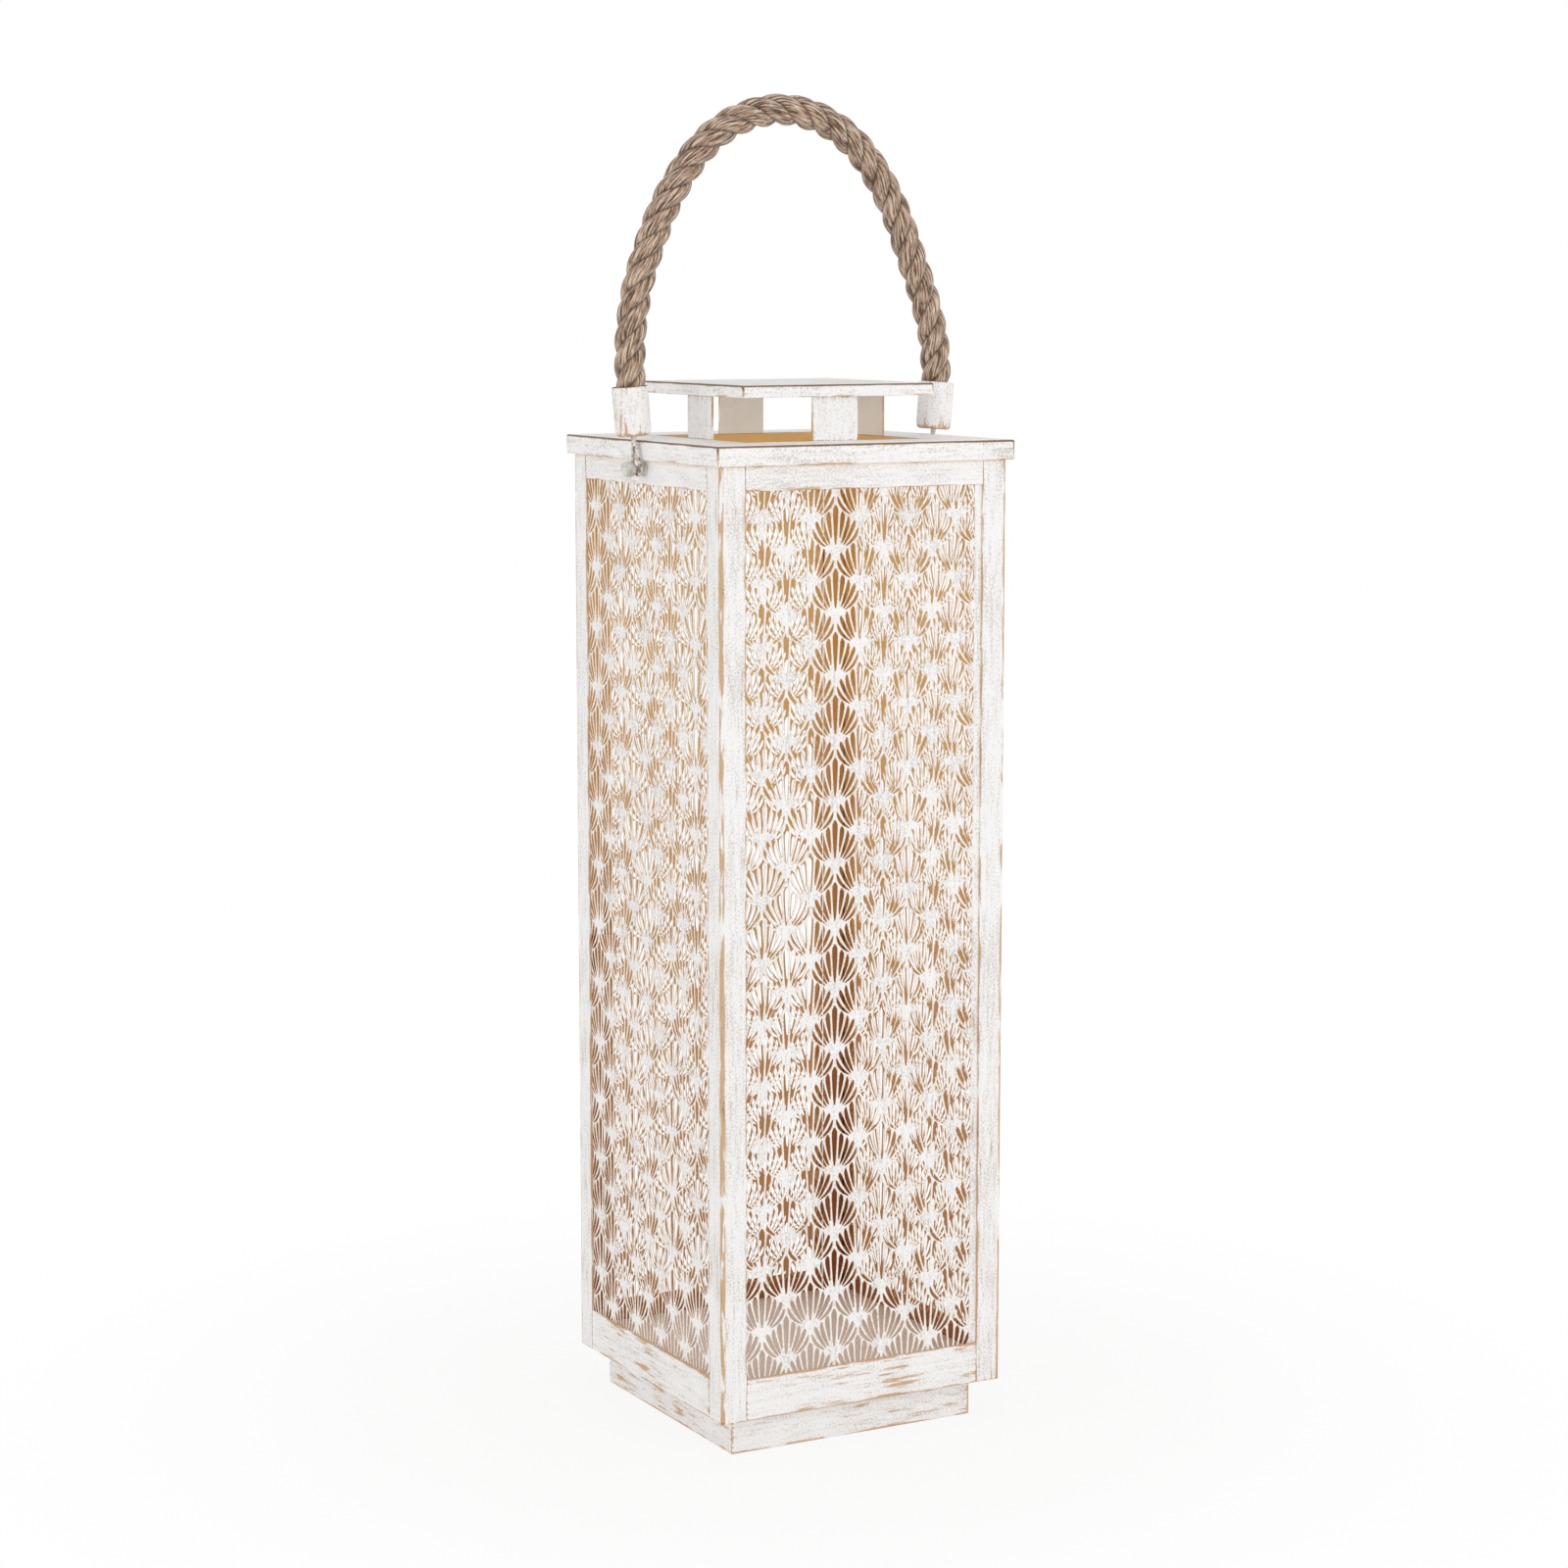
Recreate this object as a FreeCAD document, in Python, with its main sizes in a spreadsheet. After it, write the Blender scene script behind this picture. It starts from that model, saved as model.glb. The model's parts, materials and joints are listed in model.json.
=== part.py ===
import FreeCAD, Part
import math
import os

import Sketcher

# Hurricane candle lantern: a square white-washed body of folded posts and rails with fan fretwork
# on all four sides, a plinth, a vented lid under a raised cap, a door at the back and a rope handle.
# Millimetres, +Z up, origin under the middle of the plinth, front face towards -Y.

SIZES = (
    ("body_width", 200.0, "outside of the square body, over its posts"),
    ("post_length", 586.0, "length of a corner post"),
    ("post_side", 17.0, "width of each flange of a folded corner post"),
    ("plinth_height", 25.0, "height of the plinth under the body"),
    ("plinth_inset", 14.0, "how far the plinth stands in from the body"),
    ("frame_sheet", 1.5, "sheet of the posts, the rails and the door frame"),
    ("top_rail_height", 15.0, "height of a top rail"),
    ("bottom_rail_height", 26.0, "height of a bottom rail"),
    ("rail_lip", 16.0, "depth of a top rail's lip under the lid"),
    ("sheet_thick", 0.8, "thickness of a fretwork sheet"),
    ("sheet_lap", 4.5, "how far a fretwork sheet laps behind its frame"),
    ("fan_pitch", 34.0, "fan to fan across a sheet"),
    ("fan_rise", 38.4, "fan to fan up a sheet"),
    ("fan_shift", -3.5, "sideways place of the middle column of fans"),
    ("fan_datum", 3.5, "foot of the lowest whole fan above the bottom rail"),
    ("fan_border", 1.5, "least plain edge beside a fan"),
    ("floor_thick", 12.0, "thickness of the floor board"),
    ("floor_gap", 0.5, "gap between the floor board and the door"),
    ("lid_thick", 12.0, "thickness of the lid board"),
    ("lid_overhang", 3.5, "lid beyond the body on each side"),
    ("vent_width", 120.0, "side of the square vent hole in the lid"),
    ("tab_width", 32.0, "width of a tab that carries the vent cap"),
    ("tab_height", 27.0, "height of the gap under the vent cap"),
    ("tab_thick", 1.6, "thickness of a vent tab"),
    ("cap_width", 134.0, "side of the square vent cap"),
    ("cap_thick", 7.5, "thickness of the vent cap"),
    ("door_gap", 1.0, "gap around the door"),
    ("door_stile", 7.0, "width of a door stile"),
    ("hinge_height", 30.0, "height of a butt hinge"),
    ("hinge_leaf", 5.0, "width of a hinge leaf beside its knuckles"),
    ("hinge_sheet", 1.0, "thickness of a hinge leaf"),
    ("hinge_inset", 75.0, "hinge middle from the end of the door's opening"),
    ("hinge_standoff", 2.3, "hinge axis in front of the door's face"),
    ("knuckle_radius", 2.0, "outside radius of a hinge knuckle"),
    ("knuckle_gap", 0.3, "gap between neighbouring knuckles"),
    ("pin_radius", 1.0, "radius of a hinge pin"),
    ("pin_play", 0.05, "radial play of a hinge pin"),
    ("pin_head", 0.8, "thickness of a hinge pin's head"),
    ("knob_radius", 5.5, "largest radius of the door knob"),
    ("knob_reach", 12.0, "door knob in front of the door's face"),
    ("knob_foot", 3.2, "radius of the door knob's foot"),
    ("knob_neck", 2.3, "radius of the door knob's neck"),
    ("rivet_radius", 1.4, "radius of the rivet that holds the knob"),
    ("rivet_head", 2.6, "radius of the rivet's head inside the door"),
    ("rivet_thick", 0.8, "thickness of the rivet's head"),
    ("rivet_play", 0.05, "radial play of the rivet in its hole"),
    ("catch_height", 24.0, "height of the magnetic catch"),
    ("catch_drop", 32.0, "catch below the door knob"),
    ("catch_reach", 7.0, "magnet behind the post, beyond the door's opening"),
    ("magnet_thick", 2.8, "thickness of the magnet behind the door"),
    ("keeper_thick", 0.8, "thickness of the steel plate on the door"),
    ("stud_radius", 2.0, "radius of a handle stud's shank"),
    ("stud_reach", 6.0, "bare shank between the rail and the ball"),
    ("stud_drop", 5.5, "stud axis below the underside of the lid"),
    ("stud_play", 0.05, "radial play of a stud in its rail"),
    ("collar_radius", 4.4, "radius of a stud's collar against the rail"),
    ("collar_thick", 1.0, "thickness of a stud's collar"),
    ("stud_tail", 1.0, "stud beyond its nut"),
    ("ball_radius", 5.0, "radius of a stud's ball head"),
    ("nut_width", 7.0, "width of a stud's nut across its flats"),
    ("nut_thick", 3.2, "thickness of a stud's nut"),
    ("wire_radius", 1.2, "radius of an eye's wire"),
    ("eye_radius", 5.4, "radius of an eye's lower bend, at the wire's middle"),
    ("eye_offset", 5.0, "eye from the rail where it rounds the stud"),
    ("stem_radius", 1.6, "radius of an eye's stem"),
    ("stem_neck", 2.0, "stem between the eye and the ferrule"),
    ("stem_head", 1.5, "stem beyond the ferrule's base"),
    ("stem_play", 0.05, "radial play of the stem in the ferrule"),
    ("swing_gap", 0.3, "gap between parts that swing past each other"),
    ("ferrule_radius", 11.2, "outside radius of a rope ferrule"),
    ("ferrule_wall", 1.2, "wall of a rope ferrule"),
    ("ferrule_length", 30.0, "length of a rope ferrule"),
    ("ferrule_base", 2.0, "thickness of a ferrule's base"),
    ("ferrule_bevel", 2.0, "bevel of a ferrule's lower edge"),
    ("ferrule_lean", 4.5, "outward lean of a ferrule, in degrees"),
    ("ferrule_over", 7.4, "ferrule reaching in over the lid's edge"),
    ("ferrule_lift", 3.0, "ferrule above the top of the lid"),
    ("rope_radius", 9.8, "radius of the twisted rope"),
    ("rope_seat", 3.8, "rope's end above a ferrule's foot"),
    ("rope_rise", 45.0, "first bend of the rope beyond a ferrule's foot"),
)

# Route of the rope's middle line over the lid: share of the way out to a ferrule, and height over the lid.
ROPE_ROUTE = (
    (-0.9888, 88.1),
    (-0.9021, 116.0),
    (-0.7931, 144.2),
    (-0.5909, 176.4),
    (-0.3430, 195.9),
    (-0.0401, 204.0),
    (0.2610, 197.0),
    (0.5145, 177.7),
    (0.7223, 144.0),
    (0.8285, 114.9),
    (0.9394, 85.4),
)

# Half outline of one fan opening, as shares of the fan's pitch across and its rise upwards.
FAN_OUTLINE = ((0.0, 0.15), (0.46, 0.43), (0.0, 0.85))

os.makedirs("parts", exist_ok=True)
doc = FreeCAD.newDocument("candle_lantern")
sheet = doc.addObject("Spreadsheet::Sheet", "sizes")
for row, (alias, size, note) in enumerate(SIZES, start=1):
    sheet.set(f"A{row}", alias)
    sheet.set(f"B{row}", str(size))
    sheet.setAlias(f"B{row}", alias)
    sheet.set(f"C{row}", note)
doc.recompute()

NAMES = [alias for alias, size, note in SIZES]
SUBPARTS = []


def bound(text):
    """Turn plain size names in a formula into references to the sheet's cells."""
    words = text.replace("(", " ( ").replace(")", " ) ").split()
    text = " ".join(f"sizes.{word}" if word in NAMES else word for word in words)
    return text.replace("sqrt (", "sqrt(")


def amount(text):
    """Value of a formula of size names."""
    return float(sheet.evalExpression(bound(text)))


def bind(thing, prop, text):
    """Bind one property of an object to a formula of size names."""
    thing.setExpression(prop, bound(text))


# Heights and faces that several pieces share.
HALF_BODY = "( body_width / 2 )"
OPENING = "( body_width / 2 - post_side )"
BODY_TOP = "( plinth_height + post_length )"
LID_TOP = f"( {BODY_TOP} + lid_thick )"
CAP_FOOT = f"( {LID_TOP} + tab_height )"
BOTTOM_RAIL_TOP = "( plinth_height + bottom_rail_height )"
TOP_RAIL_FOOT = f"( {BODY_TOP} - top_rail_height )"
FACE = f"( -1 * {HALF_BODY} )"
FACE_BACK = f"( {FACE} + frame_sheet )"
SHEET_BACK = f"( {FACE_BACK} + sheet_thick )"
STUD_HEIGHT = f"( {BODY_TOP} - stud_drop )"
DOOR_HALF = f"( {OPENING} - door_gap )"
DOOR_OPENING = f"( {DOOR_HALF} - door_stile )"
DOOR_FOOT = "( plinth_height + door_gap )"
DOOR_TOP = f"( {BODY_TOP} - door_gap )"
KNOB_HEIGHT = "( plinth_height + post_length / 2 )"
KNOB_ACROSS = f"( {DOOR_HALF} - door_stile / 2 )"
CATCH_FOOT = f"( {KNOB_HEIGHT} - catch_drop - catch_height / 2 )"
HINGE_X = f"( -1 * {OPENING} + door_gap / 2 )"
HINGE_Y = f"( {FACE} - hinge_standoff )"

TURNS = {"front": 0, "right": 90, "back": 180, "left": -90}


def keep(thing, label):
    """List a finished piece under the name of its file."""
    thing.Label = label
    SUBPARTS.append(thing)
    return thing


def new_body(label, turn=0):
    """A body whose geometry is drawn at the front and turned about the lantern's upright axis."""
    body = keep(doc.addObject("PartDesign::Body", label), label)
    body.Placement = FreeCAD.Placement(FreeCAD.Vector(), FreeCAD.Rotation(FreeCAD.Vector(0, 0, 1), turn))
    return body


def new_sketch(body, role, offset="0"):
    """A sketch on one of the body's origin planes, moved along the plane's normal."""
    sketch = body.newObject("Sketcher::SketchObject", f"{body.Name}_sketch")
    plane = next(item for item in body.Origin.OriginFeatures if item.Role == role)
    sketch.AttachmentSupport = [(plane, "")]
    sketch.MapMode = "FlatFace"
    if offset != "0":
        bind(sketch, "AttachmentOffset.Base.z", offset)
    return sketch


def pin_point(sketch, geo, end, spot):
    """Tie one end of a line to its place, given as two formulas."""
    for kind, axis, text in (("DistanceX", -2, spot[0]), ("DistanceY", -1, spot[1])):
        if text == "0":
            sketch.addConstraint(Sketcher.Constraint("PointOnObject", geo, end, axis))
            continue
        index = sketch.addConstraint(Sketcher.Constraint(kind, -1, 1, geo, end, amount(text)))
        bind(sketch, f"Constraints[{index}]", text)


def outline(sketch, corners):
    """A closed outline through corners given as pairs of formulas.

    A corner may name the centre and radius of an anticlockwise arc that leads to the next corner.
    """
    spots = [FreeCAD.Vector(amount(corner[0]), amount(corner[1]), 0) for corner in corners]
    first = sketch.GeometryCount
    count = len(corners)
    for step in range(count):
        start = spots[step]
        end = spots[(step + 1) % count]
        if len(corners[step]) == 2:
            sketch.addGeometry(Part.LineSegment(start, end))
            continue
        across, up, radius = corners[step][2]
        middle = FreeCAD.Vector(amount(across), amount(up), 0)
        ring = Part.Circle(middle, FreeCAD.Vector(0, 0, 1), amount(radius))
        turns = [math.atan2(spot.y - middle.y, spot.x - middle.x) for spot in (start, end)]
        sketch.addGeometry(Part.ArcOfCircle(ring, *turns))
    for step in range(count):
        after = first + (step + 1) % count
        sketch.addConstraint(Sketcher.Constraint("Coincident", first + step, 2, after, 1))
        pin_point(sketch, first + step, 1, corners[step][:2])
        if len(corners[step]) == 3:
            radius = corners[step][2][2]
            index = sketch.addConstraint(Sketcher.Constraint("Radius", first + step, amount(radius)))
            bind(sketch, f"Constraints[{index}]", radius)


def rectangle(sketch, left, low, right, high):
    """A closed rectangle between two corners."""
    outline(sketch, ((left, low), (right, low), (right, high), (left, high)))


def circle(sketch, across, up, radius):
    """A circle with its centre and radius tied to formulas."""
    middle = FreeCAD.Vector(amount(across), amount(up), 0)
    geo = sketch.addGeometry(Part.Circle(middle, FreeCAD.Vector(0, 0, 1), amount(radius)))
    pin_point(sketch, geo, 3, (across, up))
    index = sketch.addConstraint(Sketcher.Constraint("Radius", geo, amount(radius)))
    bind(sketch, f"Constraints[{index}]", radius)


def pad(body, sketch, length):
    """Raise a sketch by a length along its plane's normal."""
    feature = body.newObject("PartDesign::Pad", f"{body.Name}_pad")
    feature.Profile = sketch
    bind(feature, "Length", length)
    return feature


def pocket(body, sketch, depth, flip=False):
    """Sink a sketch into the body and make sure that it cuts."""
    doc.recompute()
    before = body.Shape.Volume
    feature = body.newObject("PartDesign::Pocket", f"{body.Name}_pocket")
    feature.Profile = sketch
    feature.Reversed = flip
    bind(feature, "Length", depth)
    doc.recompute()
    if body.Shape.Volume >= before:
        raise RuntimeError(f"{feature.Name} cuts nothing")
    return feature


def revolve(body, sketch):
    """Turn a sketch once round its upright axis."""
    feature = body.newObject("PartDesign::Revolution", f"{body.Name}_turn")
    feature.Profile = sketch
    feature.ReferenceAxis = (sketch, ["V_Axis"])
    feature.Angle = 360
    return feature


def plinth():
    """The solid board under the body, set in on all sides, that the lantern stands on."""
    body = new_body("plinth")
    sketch = new_sketch(body, "XY_Plane")
    outer = f"( {HALF_BODY} - plinth_inset )"
    rectangle(sketch, f"-1 * {outer}", f"-1 * {outer}", outer, outer)
    pad(body, sketch, "plinth_height")


def floor_board():
    """The board that the candle stands on, fixed inside the posts and the bottom rails."""
    body = new_body("floor_board")
    sketch = new_sketch(body, "XY_Plane", "plinth_height")
    rectangle(sketch, FACE_BACK, FACE_BACK, f"-1 * {FACE_BACK}", f"-1 * {FACE_BACK} - floor_gap")
    pad(body, sketch, "floor_thick")


def corner_post(label, turn):
    """A corner post folded from sheet to an angle, one flange on each side of the body."""
    body = new_body(label, turn)
    sketch = new_sketch(body, "XY_Plane", "plinth_height")
    edge = f"( {FACE} + post_side )"
    outline(sketch, (
        (FACE, FACE), (edge, FACE), (edge, FACE_BACK), (FACE_BACK, FACE_BACK), (FACE_BACK, edge), (FACE, edge),
    ))
    pad(body, sketch, "post_length")


def rail(label, turn, half, low, high):
    """A flat rail between two uprights."""
    body = new_body(label, turn)
    profile = new_sketch(body, "YZ_Plane", f"-1 * {half}")
    rectangle(profile, FACE, low, FACE_BACK, high)
    pad(body, profile, f"2 * {half}")


def top_rail(label, turn):
    """A top rail with a folded lip that carries the lid."""
    body = new_body(label, turn)
    profile = new_sketch(body, "YZ_Plane", f"-1 * {OPENING}")
    lip = f"( {BODY_TOP} - frame_sheet )"
    inner = f"( {FACE} + rail_lip )"
    outline(profile, (
        (FACE, TOP_RAIL_FOOT), (FACE_BACK, TOP_RAIL_FOOT), (FACE_BACK, lip),
        (inner, lip), (inner, BODY_TOP), (FACE, BODY_TOP),
    ))
    pad(body, profile, f"2 * {OPENING}")
    return body


def fan_columns(half, first_step):
    """Middle of the first whole fan, in steps of half a pitch, and how many fans fit across."""
    pitch = amount("fan_pitch")
    reach = amount(half) - amount("fan_border") - FAN_OUTLINE[1][0] * pitch
    shift = amount("fan_shift") + first_step * pitch / 2
    lowest = math.ceil((-reach - shift) / pitch)
    highest = math.floor((reach - shift) / pitch)
    return 2 * lowest + first_step, highest - lowest + 1


def fan_rows(first_step):
    """How many whole fans fit up a sheet above the first."""
    rise = amount("fan_rise")
    room = amount(f"{TOP_RAIL_FOOT} - {BOTTOM_RAIL_TOP} - fan_datum - fan_border")
    return math.floor((room - first_step * rise / 2 - FAN_OUTLINE[-1][1] * rise) / rise) + 1


def fan_group(body, half, across_step, up_step):
    """Staggered fan openings: one fan, repeated across and up the sheet."""
    column, across_count = fan_columns(half, across_step)
    up_count = fan_rows(up_step)
    sketch = new_sketch(body, "XZ_Plane", f"-1 * {SHEET_BACK}")
    middle = f"( fan_shift + {column} * fan_pitch / 2 )"
    foot = f"( {BOTTOM_RAIL_TOP} + fan_datum + {up_step} * fan_rise / 2 )"
    halves = [(1, spot) for spot in FAN_OUTLINE] + [(-1, spot) for spot in FAN_OUTLINE[-2:0:-1]]
    outline(sketch, [
        (f"{middle} + {side * across} * fan_pitch", f"{foot} + {up} * fan_rise")
        for side, (across, up) in halves
    ])
    opening = pocket(body, sketch, "sheet_thick", flip=True)
    across = body.newObject("PartDesign::LinearPattern", f"{body.Name}_across")
    across.Direction = (sketch, ["H_Axis"])
    bind(across, "Length", f"{across_count - 1} * fan_pitch")
    across.Occurrences = across_count
    up = body.newObject("PartDesign::LinearPattern", f"{body.Name}_up")
    up.Direction = (sketch, ["V_Axis"])
    bind(up, "Length", f"{up_count - 1} * fan_rise")
    up.Occurrences = up_count
    grid = body.newObject("PartDesign::MultiTransform", f"{body.Name}_fans")
    grid.Originals = [opening]
    grid.Transformations = [across, up]
    body.Tip = grid
    doc.recompute()


def fretwork(label, turn, half):
    """A thin sheet pierced with staggered fans that laps behind its frame."""
    body = new_body(label, turn)
    sketch = new_sketch(body, "XZ_Plane", f"-1 * {SHEET_BACK}")
    reach = f"( {half} + sheet_lap )"
    rectangle(sketch, f"-1 * {reach}", f"{BOTTOM_RAIL_TOP} - sheet_lap", reach, f"{TOP_RAIL_FOOT} + sheet_lap")
    pad(body, sketch, "sheet_thick")
    fan_group(body, half, 0, 1)
    fan_group(body, half, 1, 0)
    return body


def lid_board():
    """The lid with its square vent hole."""
    body = new_body("lid_board")
    sketch = new_sketch(body, "XY_Plane", BODY_TOP)
    outer = f"( {HALF_BODY} + lid_overhang )"
    rectangle(sketch, f"-1 * {outer}", f"-1 * {outer}", outer, outer)
    rectangle(sketch, "-1 * vent_width / 2", "-1 * vent_width / 2", "vent_width / 2", "vent_width / 2")
    pad(body, sketch, "lid_thick")


def vent_tab(side):
    """One upright tab at the edge of the vent hole."""
    body = new_body(f"vent_tab_{side}", TURNS[side])
    sketch = new_sketch(body, "XY_Plane", LID_TOP)
    inner = "( -1 * vent_width / 2 )"
    rectangle(sketch, "-1 * tab_width / 2", f"{inner} - tab_thick", "tab_width / 2", inner)
    pad(body, sketch, "tab_height")


def vent_cap():
    """The square board that keeps rain out of the vent."""
    body = new_body("vent_cap")
    sketch = new_sketch(body, "XY_Plane", CAP_FOOT)
    rectangle(sketch, "-1 * cap_width / 2", "-1 * cap_width / 2", "cap_width / 2", "cap_width / 2")
    pad(body, sketch, "cap_thick")


def door_stile(label, side):
    """A flat upright of the door."""
    body = new_body(label, TURNS["back"])
    sketch = new_sketch(body, "XY_Plane", DOOR_FOOT)
    rectangle(sketch, f"{side} * {DOOR_HALF}", FACE, f"{side} * {DOOR_OPENING}", FACE_BACK)
    pad(body, sketch, f"{DOOR_TOP} - {DOOR_FOOT}")
    return body


def hinge_leaf(label, side, low, knuckles):
    """A hinge leaf with its own share of the knuckles; side is -1 towards the post."""
    body = new_body(label, TURNS["back"])
    near = f"( {HINGE_X} + {side} * ( knuckle_radius + swing_gap ) )"
    far = f"( {near} + {side} * hinge_leaf )"
    leaf_face = f"( {FACE} - hinge_sheet )"
    plate = new_sketch(body, "XY_Plane", low)
    rectangle(plate, near, leaf_face, far, FACE)
    pad(body, plate, "hinge_height")
    third = "( hinge_height / 3 )"
    for number in knuckles:
        foot = f"( {low} + {number} * {third} + knuckle_gap / 2 )"
        tall = f"( {third} - knuckle_gap )"
        strap = new_sketch(body, "XY_Plane", foot)
        rectangle(strap, HINGE_X, leaf_face, near, FACE)
        pad(body, strap, tall)
        barrel = new_sketch(body, "XY_Plane", foot)
        circle(barrel, HINGE_X, HINGE_Y, "knuckle_radius")
        pad(body, barrel, tall)
    bore = new_sketch(body, "XY_Plane", low)
    circle(bore, HINGE_X, HINGE_Y, "pin_radius + pin_play")
    pocket(body, bore, "hinge_height", flip=True)
    return body


def hinge_pin(label, low):
    """A hinge pin with a flat head at each end."""
    body = new_body(label, TURNS["back"])
    shank = new_sketch(body, "XY_Plane", low)
    circle(shank, HINGE_X, HINGE_Y, "pin_radius")
    pad(body, shank, "hinge_height")
    for foot in (f"{low} - pin_head", f"{low} + hinge_height"):
        head = new_sketch(body, "XY_Plane", foot)
        circle(head, HINGE_X, HINGE_Y, "( pin_radius + knuckle_radius ) / 2")
        pad(body, head, "pin_head")


def turned_piece(label, corners, spot, axis):
    """A piece turned on a lathe: its half outline, foot and direction of its axis."""
    body = keep(doc.addObject("PartDesign::Body", label), label)
    sketch = new_sketch(body, "XZ_Plane")
    outline(sketch, corners)
    revolve(body, sketch)
    for name, text in zip("xyz", spot):
        if text != "0":
            bind(body, f"Placement.Base.{name}", text)
    body.Placement = FreeCAD.Placement(body.Placement.Base, FreeCAD.Rotation(FreeCAD.Vector(0, 0, 1), axis))
    return body


def door_knob():
    """A turned knob, riveted through the latch stile and the sheet behind it."""
    grip = "( -1 * frame_sheet - sheet_thick )"
    corners = (
        ("0", f"{grip} - rivet_thick"),
        ("rivet_head", f"{grip} - rivet_thick"),
        ("rivet_head", grip),
        ("rivet_radius", grip),
        ("rivet_radius", "0"),
        ("knob_foot", "0"),
        ("knob_foot", "knob_reach * 0.1"),
        ("knob_neck", "knob_reach * 0.24"),
        ("knob_neck", "knob_reach * 0.42"),
        ("knob_radius", "knob_reach * 0.62"),
        ("knob_radius", "knob_reach * 0.78"),
        ("knob_radius * 0.7", "knob_reach"),
        ("0", "knob_reach"),
    )
    spot = (f"-1 * {KNOB_ACROSS}", f"-1 * {FACE}", KNOB_HEIGHT)
    turned_piece("door_knob", corners, spot, FreeCAD.Vector(0, 1, 0))


def rivet_hole(body):
    """The hole for the knob's rivet through one layer of the door."""
    hole = new_sketch(body, "XZ_Plane", f"-1 * {SHEET_BACK}")
    circle(hole, KNOB_ACROSS, KNOB_HEIGHT, "rivet_radius + rivet_play")
    pocket(body, hole, "frame_sheet + sheet_thick", flip=True)


def catch_plate():
    """The steel plate on the inner side of the door."""
    body = new_body("catch_plate", TURNS["back"])
    sketch = new_sketch(body, "XY_Plane", CATCH_FOOT)
    outer = f"( {DOOR_OPENING} + sheet_lap )"
    rectangle(sketch, DOOR_OPENING, SHEET_BACK, outer, f"{SHEET_BACK} + keeper_thick")
    pad(body, sketch, "catch_height")


def catch_magnet():
    """The magnet behind the post, stepped to reach behind the closed door."""
    body = new_body("catch_magnet", TURNS["back"])
    sketch = new_sketch(body, "XY_Plane", CATCH_FOOT)
    face = f"( {SHEET_BACK} + keeper_thick + swing_gap )"
    back = f"( {face} + magnet_thick )"
    shoulder = f"( {OPENING} + door_gap / 2 )"
    outer = f"( {OPENING} + catch_reach )"
    outline(sketch, (
        (DOOR_OPENING, face), (shoulder, face), (shoulder, FACE_BACK),
        (outer, FACE_BACK), (outer, back), (DOOR_OPENING, back),
    ))
    pad(body, sketch, "catch_height")


def stud_sign(side):
    """Direction of a handle stud along X."""
    return -1 if side == "left" else 1


def handle_stud(side):
    """A stud through the top rail, with a collar against it and a ball head that keeps the eye on."""
    body = keep(doc.addObject("PartDesign::Body", f"stud_{side}"), f"stud_{side}")
    tail = "( -1 * frame_sheet - nut_thick - stud_tail )"
    foot = "stud_reach"
    centre = "( stud_reach + sqrt ( ball_radius * ball_radius - stud_radius * stud_radius ) )"
    sketch = new_sketch(body, "XZ_Plane")
    outline(sketch, (
        ("0", tail),
        ("stud_radius", tail),
        ("stud_radius", "0"),
        ("collar_radius", "0"),
        ("collar_radius", "collar_thick"),
        ("stud_radius", "collar_thick"),
        ("stud_radius", foot, ("0", centre, "ball_radius")),
        ("0", f"{centre} + ball_radius"),
    ))
    revolve(body, sketch)
    sign = stud_sign(side)
    place_along_x(body, sign, f"{sign} * {HALF_BODY}")


def place_along_x(body, sign, across):
    """Lay a piece that was drawn upright along the handle's axis."""
    turn = FreeCAD.Rotation(FreeCAD.Vector(0, 0, 1), FreeCAD.Vector(sign, 0, 0))
    body.Placement = FreeCAD.Placement(FreeCAD.Vector(), turn)
    bind(body, "Placement.Base.x", across)
    bind(body, "Placement.Base.z", STUD_HEIGHT)


def stud_nut(side):
    """The nut that holds a stud on the inside of the rail."""
    body = keep(doc.addObject("PartDesign::Body", f"stud_nut_{side}"), f"stud_nut_{side}")
    sketch = new_sketch(body, "XY_Plane")
    corner = 1 / math.sqrt(3)
    outline(sketch, [
        (f"{corner * math.cos(turn * math.pi / 6):.6f} * nut_width",
         f"{corner * math.sin(turn * math.pi / 6):.6f} * nut_width")
        for turn in range(1, 12, 2)
    ])
    circle(sketch, "0", "0", "stud_radius + stud_play")
    pad(body, sketch, "nut_thick")
    sign = stud_sign(side)
    place_along_x(body, sign, f"{sign} * ( {HALF_BODY} - frame_sheet - nut_thick )")


def ferrule_place(side):
    """Middle of a ferrule's base and the direction of its axis."""
    sign = stud_sign(side)
    across = amount(f"{HALF_BODY} + lid_overhang + ferrule_radius - ferrule_over")
    lean = math.radians(amount("ferrule_lean"))
    foot = FreeCAD.Vector(sign * across, 0, amount(f"{LID_TOP} + ferrule_lift"))
    return foot, FreeCAD.Vector(sign * math.sin(lean), 0, math.cos(lean))


def ferrule(side):
    """A cup that holds one end of the rope, with a bevelled lower edge."""
    body = keep(doc.addObject("PartDesign::Body", f"ferrule_{side}"), f"ferrule_{side}")
    sketch = new_sketch(body, "XZ_Plane")
    bore = "( ferrule_radius - ferrule_wall )"
    hole = "( stem_radius + stem_play )"
    outline(sketch, (
        (hole, "0"),
        ("ferrule_radius - ferrule_bevel", "0"),
        ("ferrule_radius", "ferrule_bevel"),
        ("ferrule_radius", "ferrule_length"),
        (bore, "ferrule_length"),
        (bore, "ferrule_base"),
        (hole, "ferrule_base"),
    ))
    revolve(body, sketch)
    foot, axis = ferrule_place(side)
    body.Placement = FreeCAD.Placement(foot, FreeCAD.Rotation(FreeCAD.Vector(0, 0, 1), axis))


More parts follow.
